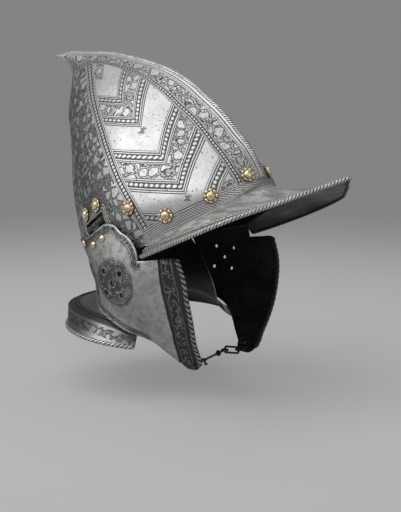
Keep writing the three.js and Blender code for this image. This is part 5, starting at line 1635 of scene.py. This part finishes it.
def build_floor(height, colour, backdrop):
    """Large pale floor that keeps the shadow near the helmet and fades into the backdrop."""
    mesh = bpy.data.meshes.new("floor")
    corners = [(x * FLOOR_REACH, y * FLOOR_REACH, height) for x, y in ((-1, -1), (1, -1), (1, 1), (-1, 1))]
    mesh.from_pydata(corners, [], [(0, 1, 2, 3)])
    floor = bpy.data.objects.new("floor", mesh)
    bpy.context.scene.collection.objects.link(floor)
    material = bpy.data.materials.new("pale_floor")
    material.use_nodes = True
    tree = material.node_tree
    shader = tree.nodes["Principled BSDF"]
    shader.inputs["Base Color"].default_value = (*colour, 1)
    shader.inputs["Roughness"].default_value = 0.9
    shader.inputs["Specular IOR Level"].default_value = 0.1
    place = add_node(tree, "ShaderNodeTexCoord").outputs["Object"]
    away = add_node(tree, "ShaderNodeVectorMath", {0: place}, operation="LENGTH").outputs["Value"]
    fade = add_node(tree, "ShaderNodeMapRange", {"Value": away, **FADE}, interpolation_type="SMOOTHSTEP")
    deepen = add_node(tree, "ShaderNodeMapRange", {"Value": away, **DEEPEN}, interpolation_type="SMOOTHERSTEP")
    shades = colour_between(tree, deepen.outputs["Result"], colour, backdrop)
    glow = add_node(tree, "ShaderNodeEmission", {"Color": shades})
    seen = add_node(tree, "ShaderNodeMath", {0: fade.outputs["Result"], 1: seen_rays(tree)}, operation="MULTIPLY")
    choose = add_node(tree, "ShaderNodeMixShader", {"Fac": seen.outputs[0], 1: shader.outputs[0], 2: glow.outputs[0]})
    tree.links.new(choose.outputs[0], tree.nodes["Material Output"].inputs["Surface"])
    mesh.materials.append(material)


# Settings and operators
class BurgonetSettings(bpy.types.PropertyGroup):
    """Sizes and levels that a user would change."""

    key_power: bpy.props.FloatProperty(
        name="Key light", description="Power of the key light", default=19, unit="POWER")
    fill_power: bpy.props.FloatProperty(
        name="Fill light", description="Power of the fill light", default=2.2, unit="POWER")
    side_power: bpy.props.FloatProperty(
        name="Side light", description="Power of the light on the cheek's side", default=3.2, unit="POWER")
    rim_power: bpy.props.FloatProperty(
        name="Rim light", description="Power of the light behind", default=1.6, unit="POWER")
    world_level: bpy.props.FloatProperty(
        name="World light", description="Strength of the even light", default=0.4)
    backdrop: bpy.props.FloatVectorProperty(
        name="Backdrop", description="Colour that the camera sees behind", default=(0.23, 0.23, 0.23), size=3,
        subtype="COLOR")
    floor_gap: bpy.props.FloatProperty(
        name="Floor gap", description="Height of the helmet over the floor", default=0.03, unit="LENGTH")


class BuildSkull(bpy.types.Operator):
    """Builds the etched skull with its brim and roped edges"""

    bl_idname = "burgonet.skull"
    bl_label = "Skull and brim"

    def execute(self, context):
        skull = build_skull()
        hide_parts("skull")
        walls = [build_slot_wall(f"{name}_slot_wall", side) for name, side in SIDES]
        for piece in (skull, build_brim(), build_brim_rope(), build_inner_rope(), build_comb_rope(), *walls):
            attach(piece, "helmet")
        return {"FINISHED"}


class BuildGuard(bpy.types.Operator):
    """Builds the neck guard and its roped rim"""

    bl_idname = "burgonet.guard"
    bl_label = "Neck guard"

    def execute(self, context):
        guard = build_guard()
        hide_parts("neck_guard")
        for piece in (guard, build_guard_rope()):
            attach(piece, "helmet")
        return {"FINISHED"}


class BuildCheeks(bpy.types.Operator):
    """Builds the cheekpieces and their roped front edges"""

    bl_idname = "burgonet.cheeks"
    bl_label = "Cheekpieces"

    def execute(self, context):
        for name, side in SIDES:
            cheek = build_cheek(f"{name}_cheek_plate", side)
            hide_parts(f"{name}_cheekpiece")
            for piece in (cheek, build_cheek_rope(f"{name}_cheek_rope", side)):
                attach(piece, f"{name}_cheek")
        return {"FINISHED"}


class BuildRivets(bpy.types.Operator):
    """Builds the gilt rosettes and domed rivets"""

    bl_idname = "burgonet.rivets"
    bl_label = "Rivets"

    def execute(self, context):
        for name, _ in SIDES:
            for i in range(4):
                build_rosette(f"{name}_lining_rosette_{i + 1}", "helmet")
            for i in range(2):
                build_rosette(f"{name}_hinge_rosette_{i + 1}", "helmet")
                build_dome(f"{name}_cheek_rivet_{i + 1}", f"{name}_cheek")
            build_dome(f"{name}_nape_rivet", "helmet")
        build_dome("left_chin_rivet", "left_cheek", "iron")
        return {"FINISHED"}


class BuildChain(bpy.types.Operator):
    """Builds the chin disc, link, hook and eye"""

    bl_idname = "burgonet.chain"
    bl_label = "Chin fastening"

    def execute(self, context):
        build_chain()
        return {"FINISHED"}


class FinishFrame(bpy.types.Operator):
    """Gives the hinges and the lining band their finishes"""

    bl_idname = "burgonet.frame"
    bl_label = "Hinges and lining"

    def execute(self, context):
        hinges = [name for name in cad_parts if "hinge" in name and "rosette" not in name]
        for name, finish in (*[(name, "hinge") for name in hinges], ("lining_band", "leather")):
            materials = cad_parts[name].data.materials
            materials.clear()
            materials.append(finish_of(finish))
        return {"FINISHED"}


class BuildStage(bpy.types.Operator):
    """Builds the floor, the lights and the camera"""

    bl_idname = "burgonet.stage"
    bl_label = "Stage"

    def execute(self, context):
        settings = context.scene.burgonet
        build_camera()
        build_world(settings.world_level, settings.backdrop)
        build_floor(CAD_BOX[0][2] - settings.floor_gap, FLOOR_COLOUR, settings.backdrop)
        to_camera, right, up = camera_axes()
        for name, (ahead, aside, above, size) in LIGHTS.items():
            place = AIM + to_camera * ahead + right * aside + up * above
            area_light(name, place, size, getattr(settings, f"{name}_power"))
        context.scene.view_settings.view_transform = "Standard"
        return {"FINISHED"}


STEPS = (BuildSkull, BuildGuard, BuildCheeks, BuildRivets, BuildChain, FinishFrame, BuildStage)


class BurgonetPanel(bpy.types.Panel):
    """Lists the pieces and their settings"""

    bl_idname = "VIEW3D_PT_burgonet"
    bl_label = "Burgonet"
    bl_space_type = "VIEW_3D"
    bl_region_type = "UI"
    bl_category = "Burgonet"

    def draw(self, context):
        layout = self.layout
        for name in BurgonetSettings.__annotations__:
            layout.prop(context.scene.burgonet, name)
        for step in STEPS:
            layout.operator(step.bl_idname)


CLASSES = (BurgonetSettings, *STEPS, BurgonetPanel)


def register():
    for one in CLASSES:
        bpy.utils.register_class(one)
    bpy.types.Scene.burgonet = bpy.props.PointerProperty(type=BurgonetSettings)


def unregister():
    del bpy.types.Scene.burgonet
    for one in reversed(CLASSES):
        bpy.utils.unregister_class(one)


def main():
    register()
    for step in STEPS:
        area, name = step.bl_idname.split(".")
        getattr(getattr(bpy.ops, area), name)()


if __name__ == "__main__":
    main()
